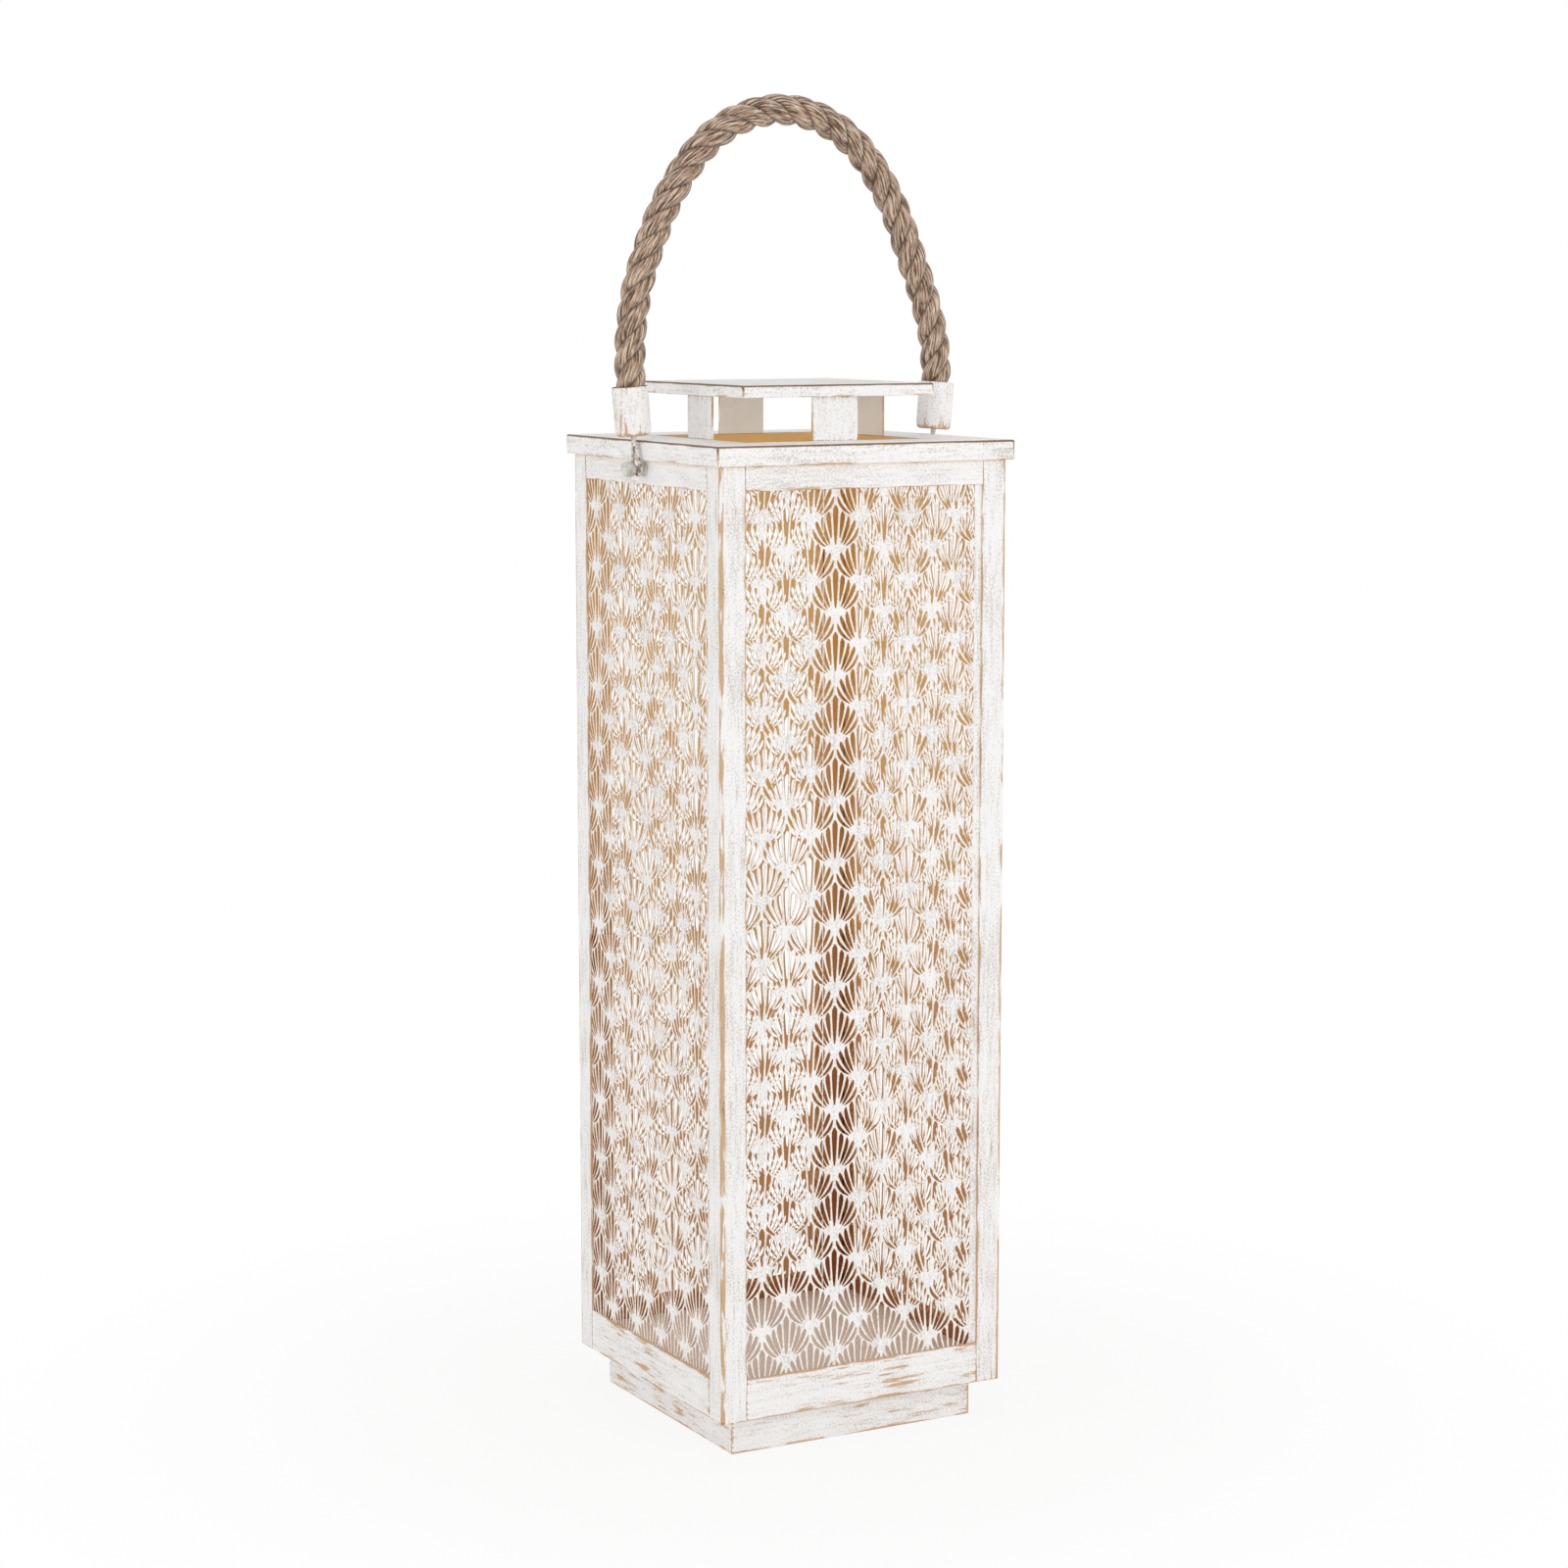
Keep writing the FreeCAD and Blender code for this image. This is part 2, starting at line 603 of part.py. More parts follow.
def wire_run(name, start, end, radius):
    """A straight length of wire between two points."""
    run = doc.addObject("Part::Cylinder", name)
    bind(run, "Radius", radius)
    run.Height = (end - start).Length
    run.Placement = FreeCAD.Placement(start, FreeCAD.Rotation(FreeCAD.Vector(0, 0, 1), end - start))
    return run


def handle_eye(side):
    """A drop-shaped wire eye round the stud, with a stem into the ferrule's base."""
    sign = stud_sign(side)
    foot, axis = ferrule_place(side)
    stud = FreeCAD.Vector(sign * amount(f"{HALF_BODY} + eye_offset"), 0, amount(STUD_HEIGHT))
    tip = foot - axis * amount("stem_neck")
    along = (tip - stud).normalize()
    wide = FreeCAD.Vector(0, 1, 0)
    hang = amount("stud_radius + wire_radius + swing_gap") / along.z
    bend = amount("eye_radius")
    middle = stud + along * (bend - hang)
    half_gap = math.acos(bend / (tip - middle).Length)
    turn = FreeCAD.Rotation(wide, along, wide.cross(along), "XYZ")
    start = FreeCAD.Rotation(FreeCAD.Vector(0, 0, 1), math.degrees(math.pi / 2 + half_gap))
    ring = doc.addObject("Part::Torus", f"eye_bend_{side}")
    bind(ring, "Radius1", "eye_radius")
    bind(ring, "Radius2", "wire_radius")
    ring.Angle3 = 360 - 2 * math.degrees(half_gap)
    ring.Placement = FreeCAD.Placement(middle, turn * start)
    pieces = [ring]
    for hand in (-1, 1):
        lean = math.pi / 2 + hand * half_gap
        touch = middle + wide * (bend * math.cos(lean)) + along * (bend * math.sin(lean))
        pieces.append(wire_run(f"eye_leg_{side}", touch, tip, "wire_radius"))
    knot = doc.addObject("Part::Sphere", f"eye_knot_{side}")
    bind(knot, "Radius", "stem_radius")
    knot.Placement.Base = tip
    head = foot + axis * amount("ferrule_base + stem_head")
    pieces += [knot, wire_run(f"eye_stem_{side}", tip, head, "stem_radius")]
    eye = keep(doc.addObject("Part::MultiFuse", f"eye_{side}"), f"eye_{side}")
    eye.Shapes = pieces


def rope_spots():
    """The rope's route: out of one ferrule, over the lid and into the other ferrule."""
    (left, left_axis), (right, right_axis) = ferrule_place("left"), ferrule_place("right")
    seat, rise = amount("rope_seat"), amount("rope_rise")
    lid_top = amount(LID_TOP)
    crown = [FreeCAD.Vector(share * right.x, 0, lid_top + height) for share, height in ROPE_ROUTE]
    ends = [left + left_axis * seat, left + left_axis * rise, right + right_axis * rise, right + right_axis * seat]
    return ends[:2] + crown + ends[2:]


def rope_path(spots):
    """Straight runs joined by tangent arcs as large as the runs allow."""
    edges = []
    begin = spots[0]
    for before, corner, after in zip(spots, spots[1:], spots[2:]):
        into = corner - before
        out = after - corner
        cut = 0.45 * min(into.Length, out.Length)
        half_turn = into.getAngle(out) / 2
        radius = cut / math.tan(half_turn)
        print(f"rope bend radius {radius:.1f} mm, turn {math.degrees(2 * half_turn):.1f} degrees")
        first = corner - into.normalize() * cut
        last = corner + out.normalize() * cut
        inward = (first + last - corner * 2).normalize()
        crest = corner + inward * (radius / math.cos(half_turn) - radius)
        edges.append(Part.LineSegment(begin, first).toShape())
        edges.append(Part.Arc(first, crest, last).toShape())
        begin = last
    edges.append(Part.LineSegment(begin, spots[-1]).toShape())
    return Part.Wire(edges)


def rope_handle():
    """The rope from one ferrule to the other, as a plain tube."""
    spots = rope_spots()
    path = rope_path(spots)
    radius = amount("rope_radius")
    section = Part.Face(Part.Wire(Part.makeCircle(radius, spots[0], spots[1] - spots[0])))
    rope = keep(doc.addObject("Part::Feature", "rope_handle"), "rope_handle")
    rope.Shape = Part.Wire(path).makePipe(section)
    share = rope.Shape.Volume / (math.pi * radius ** 2 * path.Length)
    print(f"rope length {path.Length:.1f} mm, volume against section times length {share:.4f}")


def stud_hole(body):
    """The hole for a handle stud through a side rail."""
    hole = new_sketch(body, "XZ_Plane", f"-1 * {FACE_BACK}")
    circle(hole, "0", STUD_HEIGHT, "stud_radius + stud_play")
    pocket(body, hole, "frame_sheet", flip=True)


plinth()
floor_board()

for label, turn in (
    ("post_front_left", 0),
    ("post_front_right", 90),
    ("post_back_right", 180),
    ("post_back_left", -90),
):
    corner_post(label, turn)

for side in ("front", "left", "right"):
    rail(f"bottom_rail_{side}", TURNS[side], OPENING, "plinth_height", BOTTOM_RAIL_TOP)
    upper_rail = top_rail(f"top_rail_{side}", TURNS[side])
    if side != "front":
        stud_hole(upper_rail)
    fretwork(f"fretwork_{side}", TURNS[side], OPENING)

lid_board()
for side in TURNS:
    vent_tab(side)
vent_cap()

door_stile("door_stile_hinge", -1)
rivet_hole(door_stile("door_stile_latch", 1))
rail("door_bottom_rail", TURNS["back"], DOOR_OPENING, DOOR_FOOT, BOTTOM_RAIL_TOP)
rail("door_top_rail", TURNS["back"], DOOR_OPENING, TOP_RAIL_FOOT, DOOR_TOP)
rivet_hole(fretwork("door_fretwork", TURNS["back"], DOOR_OPENING))
door_knob()
catch_plate()
catch_magnet()

for name, middle in (
    ("lower", "( plinth_height + hinge_inset )"),
    ("upper", f"( {BODY_TOP} - hinge_inset )"),
):
    low = f"( {middle} - hinge_height / 2 )"
    hinge_leaf(f"hinge_post_leaf_{name}", -1, low, (0, 2))
    hinge_leaf(f"hinge_door_leaf_{name}", 1, low, (1,))
    hinge_pin(f"hinge_pin_{name}", low)

for side in ("left", "right"):
    handle_stud(side)
    stud_nut(side)
    ferrule(side)
    handle_eye(side)
rope_handle()

doc.recompute()
for thing in doc.Objects:
    if "Invalid" in thing.State or "Error" in thing.State:
        raise RuntimeError(f"{thing.Label} failed: {thing.State}")
for thing in SUBPARTS:
    if thing.Shape.isNull() or not thing.Shape.isValid() or not thing.Shape.Solids:
        raise RuntimeError(f"{thing.Label} has no sound solid")
for thing in SUBPARTS:
    thing.Shape.exportStep(f"parts/{thing.Label}.step")
print(len(SUBPARTS), "sub-parts written")
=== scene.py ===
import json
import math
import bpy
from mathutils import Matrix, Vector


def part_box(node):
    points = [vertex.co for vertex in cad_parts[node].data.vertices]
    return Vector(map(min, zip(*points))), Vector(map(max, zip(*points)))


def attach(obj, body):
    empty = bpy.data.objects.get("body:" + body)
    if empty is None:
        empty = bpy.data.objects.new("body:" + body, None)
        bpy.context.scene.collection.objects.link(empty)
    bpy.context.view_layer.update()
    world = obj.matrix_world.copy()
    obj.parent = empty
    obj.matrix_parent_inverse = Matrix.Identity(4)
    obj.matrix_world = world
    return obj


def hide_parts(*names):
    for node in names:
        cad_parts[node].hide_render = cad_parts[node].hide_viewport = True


bl_info = {
    "name": "Rope-handled candle lantern",
    "version": (1, 0, 0),
    "blender": (4, 5, 0),
    "location": "View3D > Sidebar > Lantern",
    "description": "Dresses a tall candle lantern: washed boards, pierced fans, jute rope and metal fittings",
    "category": "Add Mesh",
}

import bmesh
import bpy
from bpy.props import FloatProperty, FloatVectorProperty, IntProperty, PointerProperty
from mathutils import Matrix, Vector
from mathutils.geometry import delaunay_2d_cdt
from mathutils.kdtree import KDTree

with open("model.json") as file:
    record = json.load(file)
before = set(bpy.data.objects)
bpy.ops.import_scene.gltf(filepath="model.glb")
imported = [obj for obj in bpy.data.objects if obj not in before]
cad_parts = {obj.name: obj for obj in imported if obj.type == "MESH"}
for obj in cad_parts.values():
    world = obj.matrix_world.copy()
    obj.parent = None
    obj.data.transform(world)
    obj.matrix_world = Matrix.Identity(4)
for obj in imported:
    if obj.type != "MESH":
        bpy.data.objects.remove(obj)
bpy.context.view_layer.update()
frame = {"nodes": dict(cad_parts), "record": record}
BODY_OF = {node: body for body, nodes in frame["record"]["behaviour"]["bodies"].items() for node in nodes}

MM = 0.001
UP = Vector((0, 0, 1))
WHITE = (1, 1, 1, 1)
TURNS = {"front": 0.0, "right": 90.0, "back": 180.0, "left": -90.0}  # degrees about the lantern's axis
BODY_HALF = 100 * MM  # half the width of the square body
POST_FOLD = 98.5 * MM  # inner corner of a post, from the lantern's middle planes
FOLD_SHADE = 1.2 * MM  # width of the painted shade line beside that corner, on each flange
WELD = 1e-6  # corners this close together, in metres, are one corner

# The rope's route from ferrule to ferrule, in the plane of the two studs (metres, x and z).
ROPE_ROUTE = (
    (-0.1076, 0.6298), (-0.1108, 0.6709), (-0.1061, 0.7111), (-0.0968, 0.7390), (-0.0851, 0.7672),
    (-0.0634, 0.7994), (-0.0368, 0.8189), (-0.0043, 0.8270), (0.0280, 0.8200), (0.0552, 0.8007),
    (0.0775, 0.7670), (0.0889, 0.7379), (0.1008, 0.7084), (0.1108, 0.6709), (0.1076, 0.6298),
)
ROPE_STEP = 1.5 * MM  # from one ring of a strand to the next
FERRULE_LAP = 3.8 * MM  # the ferrule's foot below the rope's end
MOUTH_GIRTH = 0.93  # share of its girth to which a ferrule's mouth draws the rope in
MOUTH_TAPER = 6 * MM  # length over which the rope swells again
YARN_SIDES = 4  # facets of one yarn
YARN_GROOVE = 0.04  # depth of the groove between two yarns, as a share of the strand's radius


def linear(code):
    """An sRGB hex colour as linear red, green and blue."""
    channels = (int(code[at:at + 2], 16) / 255 for at in (1, 3, 5))
    return tuple(c / 12.92 if c <= 0.04045 else ((c + 0.055) / 1.055) ** 2.4 for c in channels)


def tone(text, code):
    """A colour property with its sRGB hex default."""
    return FloatVectorProperty(
        name=text, description=f"{text} colour", subtype="COLOR", size=3, min=0, max=1, default=linear(code))


def length(text, note, millimetres):
    """A length property with its default in millimetres."""
    return FloatProperty(name=text, description=note, unit="LENGTH", default=millimetres * MM)


class LanternFinish(bpy.types.PropertyGroup):
    """Colours of the lantern's finishes."""
    paint: tone("White wash", "#F6F5F4")
    speck: tone("Thin paint speckle", "#C3BAB2")
    rubbed: tone("Rubbed edge", "#CBA272")
    bare: tone("Bare patch", "#66462F")
    # The inside coat runs from the first colour near the lid to the second near the floor: painted light, lighter
    # where light falls in through the vent.
    undercoat: tone("Inside coat near the lid", "#EFC67F")
    undercoat_deep: tone("Inside coat near the floor", "#A5683F")
    # Painted light: the inside of the fretwork is a paler copy of the inside coat, lit through the slots.
    sheet_back_lit: tone("Inside of the fretwork near the lid", "#F5D596")
    sheet_back_lit_deep: tone("Inside of the fretwork near the floor", "#CE9C66")
    cut: tone("Cut edge of the fretwork", "#F2E0C6")
    vent_grey: tone("Inner side of the vent tabs", "#FDFDFC")
    floor_plate: tone("Floor board", "#FBF4F0")
    # The pale jute also serves as painted highlight on the crowns of the yarns, and the dark jute, at half its
    # tone, as painted shade deep between the strands.
    jute: tone("Jute", "#AB8B72")
    jute_light: tone("Jute, sunlit fibre", "#E2CBB4")
    jute_dark: tone("Jute, between the yarns", "#5A4536")
    steel: tone("Hinge steel", "#A39B90")


class LanternSizes(bpy.types.PropertyGroup):
    """Sizes of the pieces that are modelled beyond the frame."""
    fan_pitch: length("Fan pitch", "Fan to fan across a sheet", 34.0)
    fan_rise: length("Fan rise", "Fan to fan up a sheet", 38.4)
    fan_shift: length("Fan shift", "Sideways place of the middle column of fans", -3.5)
    fan_foot: length("Fan foot", "Foot of the lowest whole fan of that column above the ground", 73.7)
    rope_lay: length("Rope lay", "Length of one full turn of a strand", 46.0)
    rope_radius: length("Rope radius", "Outside radius of the rope", 9.8)
    strand_radius: length("Strand radius", "Radius of one strand", 5.15)
    strands: IntProperty(name="Strands", description="Strands in the rope", default=3, min=2, max=4)
    yarns: IntProperty(name="Yarns", description="Yarns that show round one strand", default=9, min=4, max=14)
    yarn_twist: length("Yarn twist", "Length of one back turn of the yarns in a strand", 30.0)
    board_ease: length("Board edge", "Rounding of a board's edges", 0.6)
    sheet_ease: length("Sheet edge", "Rounding of a sheet piece's cut edges", 0.3)
    fold_radius: length("Fold", "Rounding of a corner post's fold", 2.0)
    slot_rub: length("Slot rub", "Width of the rubbed line round a slot", 0.15)
    slot_wall: length("Slot wall", "Thickness of a sheet as its slots show it", 0.4)
    plain_border: length("Plain border", "Unpierced strip of the front sheet, with its lap behind the post", 9.5)
    ferrule_radius: length("Ferrule radius", "Outside radius of a ferrule", 11.2)
    ferrule_length: length("Ferrule length", "Length of a ferrule along the rope", 30.0)
    screw_radius: length("Screw radius", "Radius of a hinge screw's head", 1.5)


def add_node(tree, kind, links=None, **settings):
    """Add one node; links maps its inputs to values, to sockets or to nodes, which give their first output."""
    made = tree.nodes.new(kind)
    for name, value in settings.items():
        setattr(made, name, value)
    for name, value in (links or {}).items():
        if isinstance(value, bpy.types.Node):
            value = value.outputs[0]
        if isinstance(value, bpy.types.NodeSocket):
            tree.links.new(value, made.inputs[name])
        else:
            made.inputs[name].default_value = value
    return made


# Settings that many nodes share, and the sockets of a Mix node that mixes colours.
SMOOTH = {"interpolation_type": "SMOOTHSTEP"}
WEIGHED = {"operation": "MULTIPLY_ADD"}
COLOURS = {"data_type": "RGBA"}
SHARE, FIRST, SECOND, MIXED = 0, 6, 7, 2


def new_material(name):
    """The empty node tree of a new material, and its object coordinates."""
    material = bpy.data.materials.new(name)
    material.use_nodes = True
    tree = material.node_tree
    tree.nodes.clear()
    return tree, add_node(tree, "ShaderNodeTexCoord").outputs["Object"]


def colour(value, share=1.0):
    """A linear colour with full alpha, darkened to a share of itself."""
    return (*(channel * share for channel in value), 1.0)


def grain_scale(millimetres):
    """Scale of a noise whose grain has a real size."""
    return 1 / (millimetres * MM)


def coat(tree, under, over, where, low, high, most=1.0):
    """Lay one colour over another: none of it where a value is below low, the most of it above high."""
    share = add_node(tree, "ShaderNodeMapRange", {
        "Value": where, "From Min": low, "From Max": high, "To Max": most}, **SMOOTH)
    return add_node(tree, "ShaderNodeMix", {SHARE: share, FIRST: under, SECOND: over}, **COLOURS).outputs[MIXED]


# A brush stroke is eleven times as long as it is wide.
GRAIN_STRETCH = {"x": (0.09, 1, 1), "y": (1, 0.09, 1), "z": (1, 1, 0.09)}


def washed_paint(name, grain, finish, edge=True):
    """Emulsion brushed thin over a tan undercoat and rubbed back: matt, speckled, streaked with the brush."""
    tree, place = new_material(name)
    brushed = add_node(tree, "ShaderNodeMapping", {"Vector": place, "Scale": GRAIN_STRETCH[grain]})
    streak, speck, patch = (
        add_node(tree, "ShaderNodeTexNoise", {
            "Vector": spot, "Scale": grain_scale(size), "Detail": detail, "Roughness": rough})
        for spot, size, detail, rough in (
            (brushed, 1.8, 3.0, 0.55), (place, 1.3, 3.0, 0.7), (place, 38.0, 2.0, 0.55)))
    height = add_node(tree, "ShaderNodeSeparateXYZ", {0: place}).outputs["Z"]
    unkicked = add_node(tree, "ShaderNodeMapRange", {
        "Value": height, "From Min": 0.02, "From Max": 0.16}, **SMOOTH)
    rubs = [(streak, 1.2), (patch, 0.55), (unkicked, -0.05)]
    if edge:
        worn = add_node(tree, "ShaderNodeAttribute", attribute_name="edge_wear").outputs["Fac"]
        rubs.append((worn, 0.5))
    wear = -0.825
    for part, weight in rubs:
        wear = add_node(tree, "ShaderNodeMath", {0: part, 1: weight, 2: wear}, **WEIGHED)
    chips = add_node(tree, "ShaderNodeMapRange", {
        "Value": wear, "From Min": 0.29, "From Max": 0.39, "To Max": 0.9}, **SMOOTH)
    gouge = add_node(tree, "ShaderNodeMath", {0: speck, 1: 0.9, 2: wear}, **WEIGHED)
    film = speck
    for part, weight in ((streak, 0.5), (patch, 0.3)):
        film = add_node(tree, "ShaderNodeMath", {0: part, 1: weight, 2: film}, **WEIGHED)
    paint = coat(tree, colour(finish.paint), colour(finish.speck), film, 0.85, 1.09, most=0.7)
    ground = coat(tree, colour(finish.rubbed), colour(finish.bare), gouge, 1.09, 1.25)
    base = add_node(tree, "ShaderNodeMix", {SHARE: chips, FIRST: paint, SECOND: ground}, **COLOURS)
    relief = 0.0
    for part, weight in ((streak, 0.5), (speck, 0.6), (chips, -0.5)):
        relief = add_node(tree, "ShaderNodeMath", {0: part, 1: weight, 2: relief}, **WEIGHED)
    bump = add_node(tree, "ShaderNodeBump", {"Height": relief, "Strength": 0.3, "Distance": 0.4 * MM})
    shader = add_node(tree, "ShaderNodeBsdfPrincipled", {
        "Base Color": base.outputs[MIXED], "Normal": bump, "Roughness": 0.62})
    add_node(tree, "ShaderNodeOutputMaterial", {"Surface": shader})


def inside_coat(name, light, deep, shade_in_fold=False):
    """Bronze lacquer sprayed inside, with a soft shine; amber near the lid and copper brown near the floor is
    painted light, for the light that falls in through the vent and fades downwards.
    """
    tree, place = new_material(name)
    spot = add_node(tree, "ShaderNodeSeparateXYZ", {0: place}).outputs
    cloud, peel = (
        add_node(tree, "ShaderNodeTexNoise", {
            "Vector": place, "Scale": grain_scale(size), "Detail": detail, "Roughness": 0.55})
        for size, detail in ((50.0, 3.0), (1.6, 2.0)))
    # Painted light: the coat is mixed from its dark tone near the floor to its light tone higher up, towards the
    # vent.
    level = add_node(tree, "ShaderNodeMath", {0: cloud, 1: 0.12, 2: spot["Z"]}, **WEIGHED)
    share = add_node(tree, "ShaderNodeMapRange", {"Value": level, "From Min": 0.08, "From Max": 0.68}, **SMOOTH)
    base = add_node(tree, "ShaderNodeMix", {
        SHARE: share, FIRST: colour(deep), SECOND: colour(light)}, **COLOURS).outputs[MIXED]
    if shade_in_fold:
        # Painted shade: a dark line in the fold of a post, where shade gathers in the corner, strongest low down.
        aside = [add_node(tree, "ShaderNodeMath", {0: spot[axis]}, operation="ABSOLUTE") for axis in "XY"]
        corner = add_node(tree, "ShaderNodeMath", {0: aside[0], 1: aside[1]}, operation="MINIMUM")
        # Strength of that painted shade in the fold: full at the floor, weaker towards the lid.
        bare = add_node(tree, "ShaderNodeMath", {0: share, 1: -0.65, 2: 1.0}, **WEIGHED)
        near, full = POST_FOLD - FOLD_SHADE, POST_FOLD - 0.6 * FOLD_SHADE
        base = coat(tree, base, colour(deep, 0.1), corner, near, full, most=bare)
    bump = add_node(tree, "ShaderNodeBump", {"Height": peel, "Strength": 0.15, "Distance": 0.3 * MM})
    shader = add_node(tree, "ShaderNodeBsdfPrincipled", {"Base Color": base, "Normal": bump, "Roughness": 0.5})
    add_node(tree, "ShaderNodeOutputMaterial", {"Surface": shader})


def plain_coat(name, light, deep, grain, rough):
    """A sprayed coat: even, with soft clouds of a deeper tone where it lies thin or is handled."""
    tree, place = new_material(name)
    cloud, peel = (
        add_node(tree, "ShaderNodeTexNoise", {
            "Vector": place, "Scale": grain_scale(size), "Detail": detail, "Roughness": 0.55})
        for size, detail in ((grain, 3.0), (1.6, 2.0)))
    tint = 0.0
    for part, weight in ((cloud, 0.8), (peel, 0.4)):
        tint = add_node(tree, "ShaderNodeMath", {0: part, 1: weight, 2: tint}, **WEIGHED)
    base = coat(tree, light, deep, tint, 0.5, 0.75)
    bump = add_node(tree, "ShaderNodeBump", {"Height": peel, "Strength": 0.2, "Distance": 0.3 * MM})
    shader = add_node(tree, "ShaderNodeBsdfPrincipled", {"Base Color": base, "Normal": bump, "Roughness": rough})
    add_node(tree, "ShaderNodeOutputMaterial", {"Surface": shader})


def jute_rope(finish):
    """Twisted jute: dull bast fibre in pale and dark bundles, with painted highlight on the crowns of its yarns
    and painted shade between them.
    """
    tree, place = new_material("jute")
    crown, reach = (
        add_node(tree, "ShaderNodeAttribute", attribute_name=layer).outputs["Fac"]
        for layer in ("yarn_crown", "reach"))
    # Bast fibre is finer than a pixel, so it is drawn as bundles about 1 mm wide and 9 mm long.
    along = add_node(tree, "ShaderNodeUVMap", uv_map="fibre")
    bundles = add_node(tree, "ShaderNodeMapping", {"Vector": along, "Scale": (3.4, 110.0, 1.0)})
    fibre = add_node(tree, "ShaderNodeTexNoise", {
        "Vector": bundles, "Scale": 1.0, "Detail": 3.0, "Roughness": 0.7})
    cloud = add_node(tree, "ShaderNodeTexNoise", {
        "Vector": place, "Scale": grain_scale(9.0), "Detail": 2.0, "Roughness": 0.55})
    # Painted highlight: the crowns of the yarns add to the fibre's tone, so they come out paler than the grooves
    # between them.
    fibre_tone_and_crown_light = -1.76
    for part, weight in ((fibre, 3.8), (crown, 0.1), (cloud, 0.6)):
        fibre_tone_and_crown_light = add_node(tree, "ShaderNodeMath", {0: part, 1: weight, 2: fibre_tone_and_crown_light}, **WEIGHED)
    base = coat(tree, colour(finish.jute_dark), colour(finish.jute), fibre_tone_and_crown_light, 0.2, 0.5)
    base = coat(tree, base, colour(finish.jute_light), fibre_tone_and_crown_light, 0.5, 0.85)
    # Painted shade: deep between the strands, where shadow falls, the fibre is coloured at half the dark jute's
    # tone.
    base = coat(tree, colour(finish.jute_dark, 0.5), base, reach, 0.64, 0.88)
    bump = add_node(tree, "ShaderNodeBump", {"Height": fibre, "Strength": 1.0, "Distance": 1.2 * MM})
    shader = add_node(tree, "ShaderNodeBsdfPrincipled", {
        "Base Color": base, "Normal": bump, "Roughness": 0.78, "Sheen Weight": 0.25, "Sheen Roughness": 0.5})
    add_node(tree, "ShaderNodeOutputMaterial", {"Surface": shader})


def brushed_metal(name, tint, rough):
    """Rolled steel: grey, drawn out in fine lines, a little dull with handling."""
    tree, place = new_material(name)
    # Rolling lines are finer than a pixel, so they are drawn half a millimetre wide.
    rolled = add_node(tree, "ShaderNodeMapping", {"Vector": place, "Scale": (1, 1, 0.06)})
    lines, dull = (
        add_node(tree, "ShaderNodeTexNoise", {
            "Vector": spot, "Scale": grain_scale(size), "Detail": 2.0, "Roughness": 0.55})
        for spot, size in ((rolled, 0.5), (place, 9.0)))
    base = coat(tree, colour(tint, 0.62), colour(tint), lines, 0.3, 0.7)
    matt = add_node(tree, "ShaderNodeMath", {0: dull, 1: 0.3, 2: rough - 0.15}, **WEIGHED)
    shader = add_node(tree, "ShaderNodeBsdfPrincipled", {"Base Color": base, "Roughness": matt, "Metallic": 1.0})
    add_node(tree, "ShaderNodeOutputMaterial", {"Surface": shader})


def finishes():
    """All materials of the lantern, made once and kept by name."""
    if "jute" not in bpy.data.materials:
        finish = bpy.context.scene.lantern_finish
        for grain in "xyz":
            washed_paint(f"washed_board_{grain}", grain, finish)
        washed_paint("washed_fretwork", "z", finish, edge=False)
        washed_paint("washed_fitting", "z", finish)
        inside_coat("undercoat", finish.undercoat, finish.undercoat_deep)
        inside_coat("folded_undercoat", finish.undercoat, finish.undercoat_deep, shade_in_fold=True)
        # Painted light: the backs of the pierced sheets get a paler copy of the inside coat, for the light that
        # comes in through their slots, so they are paler than the posts.
        inside_coat("dusted_undercoat", finish.sheet_back_lit, finish.sheet_back_lit_deep)
        # Sheared sheet that caught a little of both coats: a cream line round every slot.
        plain_coat("cut_edge", colour(finish.cut), colour(finish.rubbed), 30.0, 0.6)
        # Pale primer, without the rubbed wash: plain and grey in the shade of the cap.
        plain_coat("vent_grey", colour(finish.vent_grey), colour(finish.vent_grey, 0.92), 25.0, 0.55)
        # Painted board: smooth and pale, and takes the glow of the lacquer round it.
        plain_coat("floor_plate", colour(finish.floor_plate), colour(finish.floor_plate, 0.92), 30.0, 0.5)
        # Painted wire, rubbed bare where it swings: light, with brown smears.
        plain_coat("worn_wire", colour(linear("#EDE9E3")), colour(linear("#6E5844")), 3.0, 0.45)
        # Enamelled ball: hard and smooth, with a small highlight.
        plain_coat("stud_enamel", colour(linear("#DCDBD7")), colour(linear("#BDB4A9")), 5.0, 0.35)
        brushed_metal("hinge_steel", finish.steel, 0.38)
        # New screws shine more than the leaves that they hold, and a bronzed catch is warm and quiet.
        brushed_metal("bright_steel", linear("#C9C7C4"), 0.25)
        brushed_metal("bronzed_steel", linear("#CDA06C"), 0.45)
        jute_rope(finish)
    return bpy.data.materials


CREASE_ANGLE = 0.7  # radians between two faces at which a smooth skin still shows an edge


def new_piece(name, work, *materials, smooth=False):
    """Turn a bmesh into a piece at the origin."""
    mesh = bpy.data.meshes.new(name)
    work.to_mesh(mesh)
    work.free()
    for material in materials:
        mesh.materials.append(finishes()[material])
    if smooth:
        mesh.shade_smooth()
        mesh.set_sharp_from_angle(angle=CREASE_ANGLE)
    piece = bpy.data.objects.new(name, mesh)
    bpy.context.collection.objects.link(piece)
    return piece


def settle(piece, body, slot, *nodes):
    """Ride a piece on its body and hide the frame's nodes that it stands for; the name of its finish is not used.
    """
    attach(piece, body)
    if nodes:
        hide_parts(*nodes)


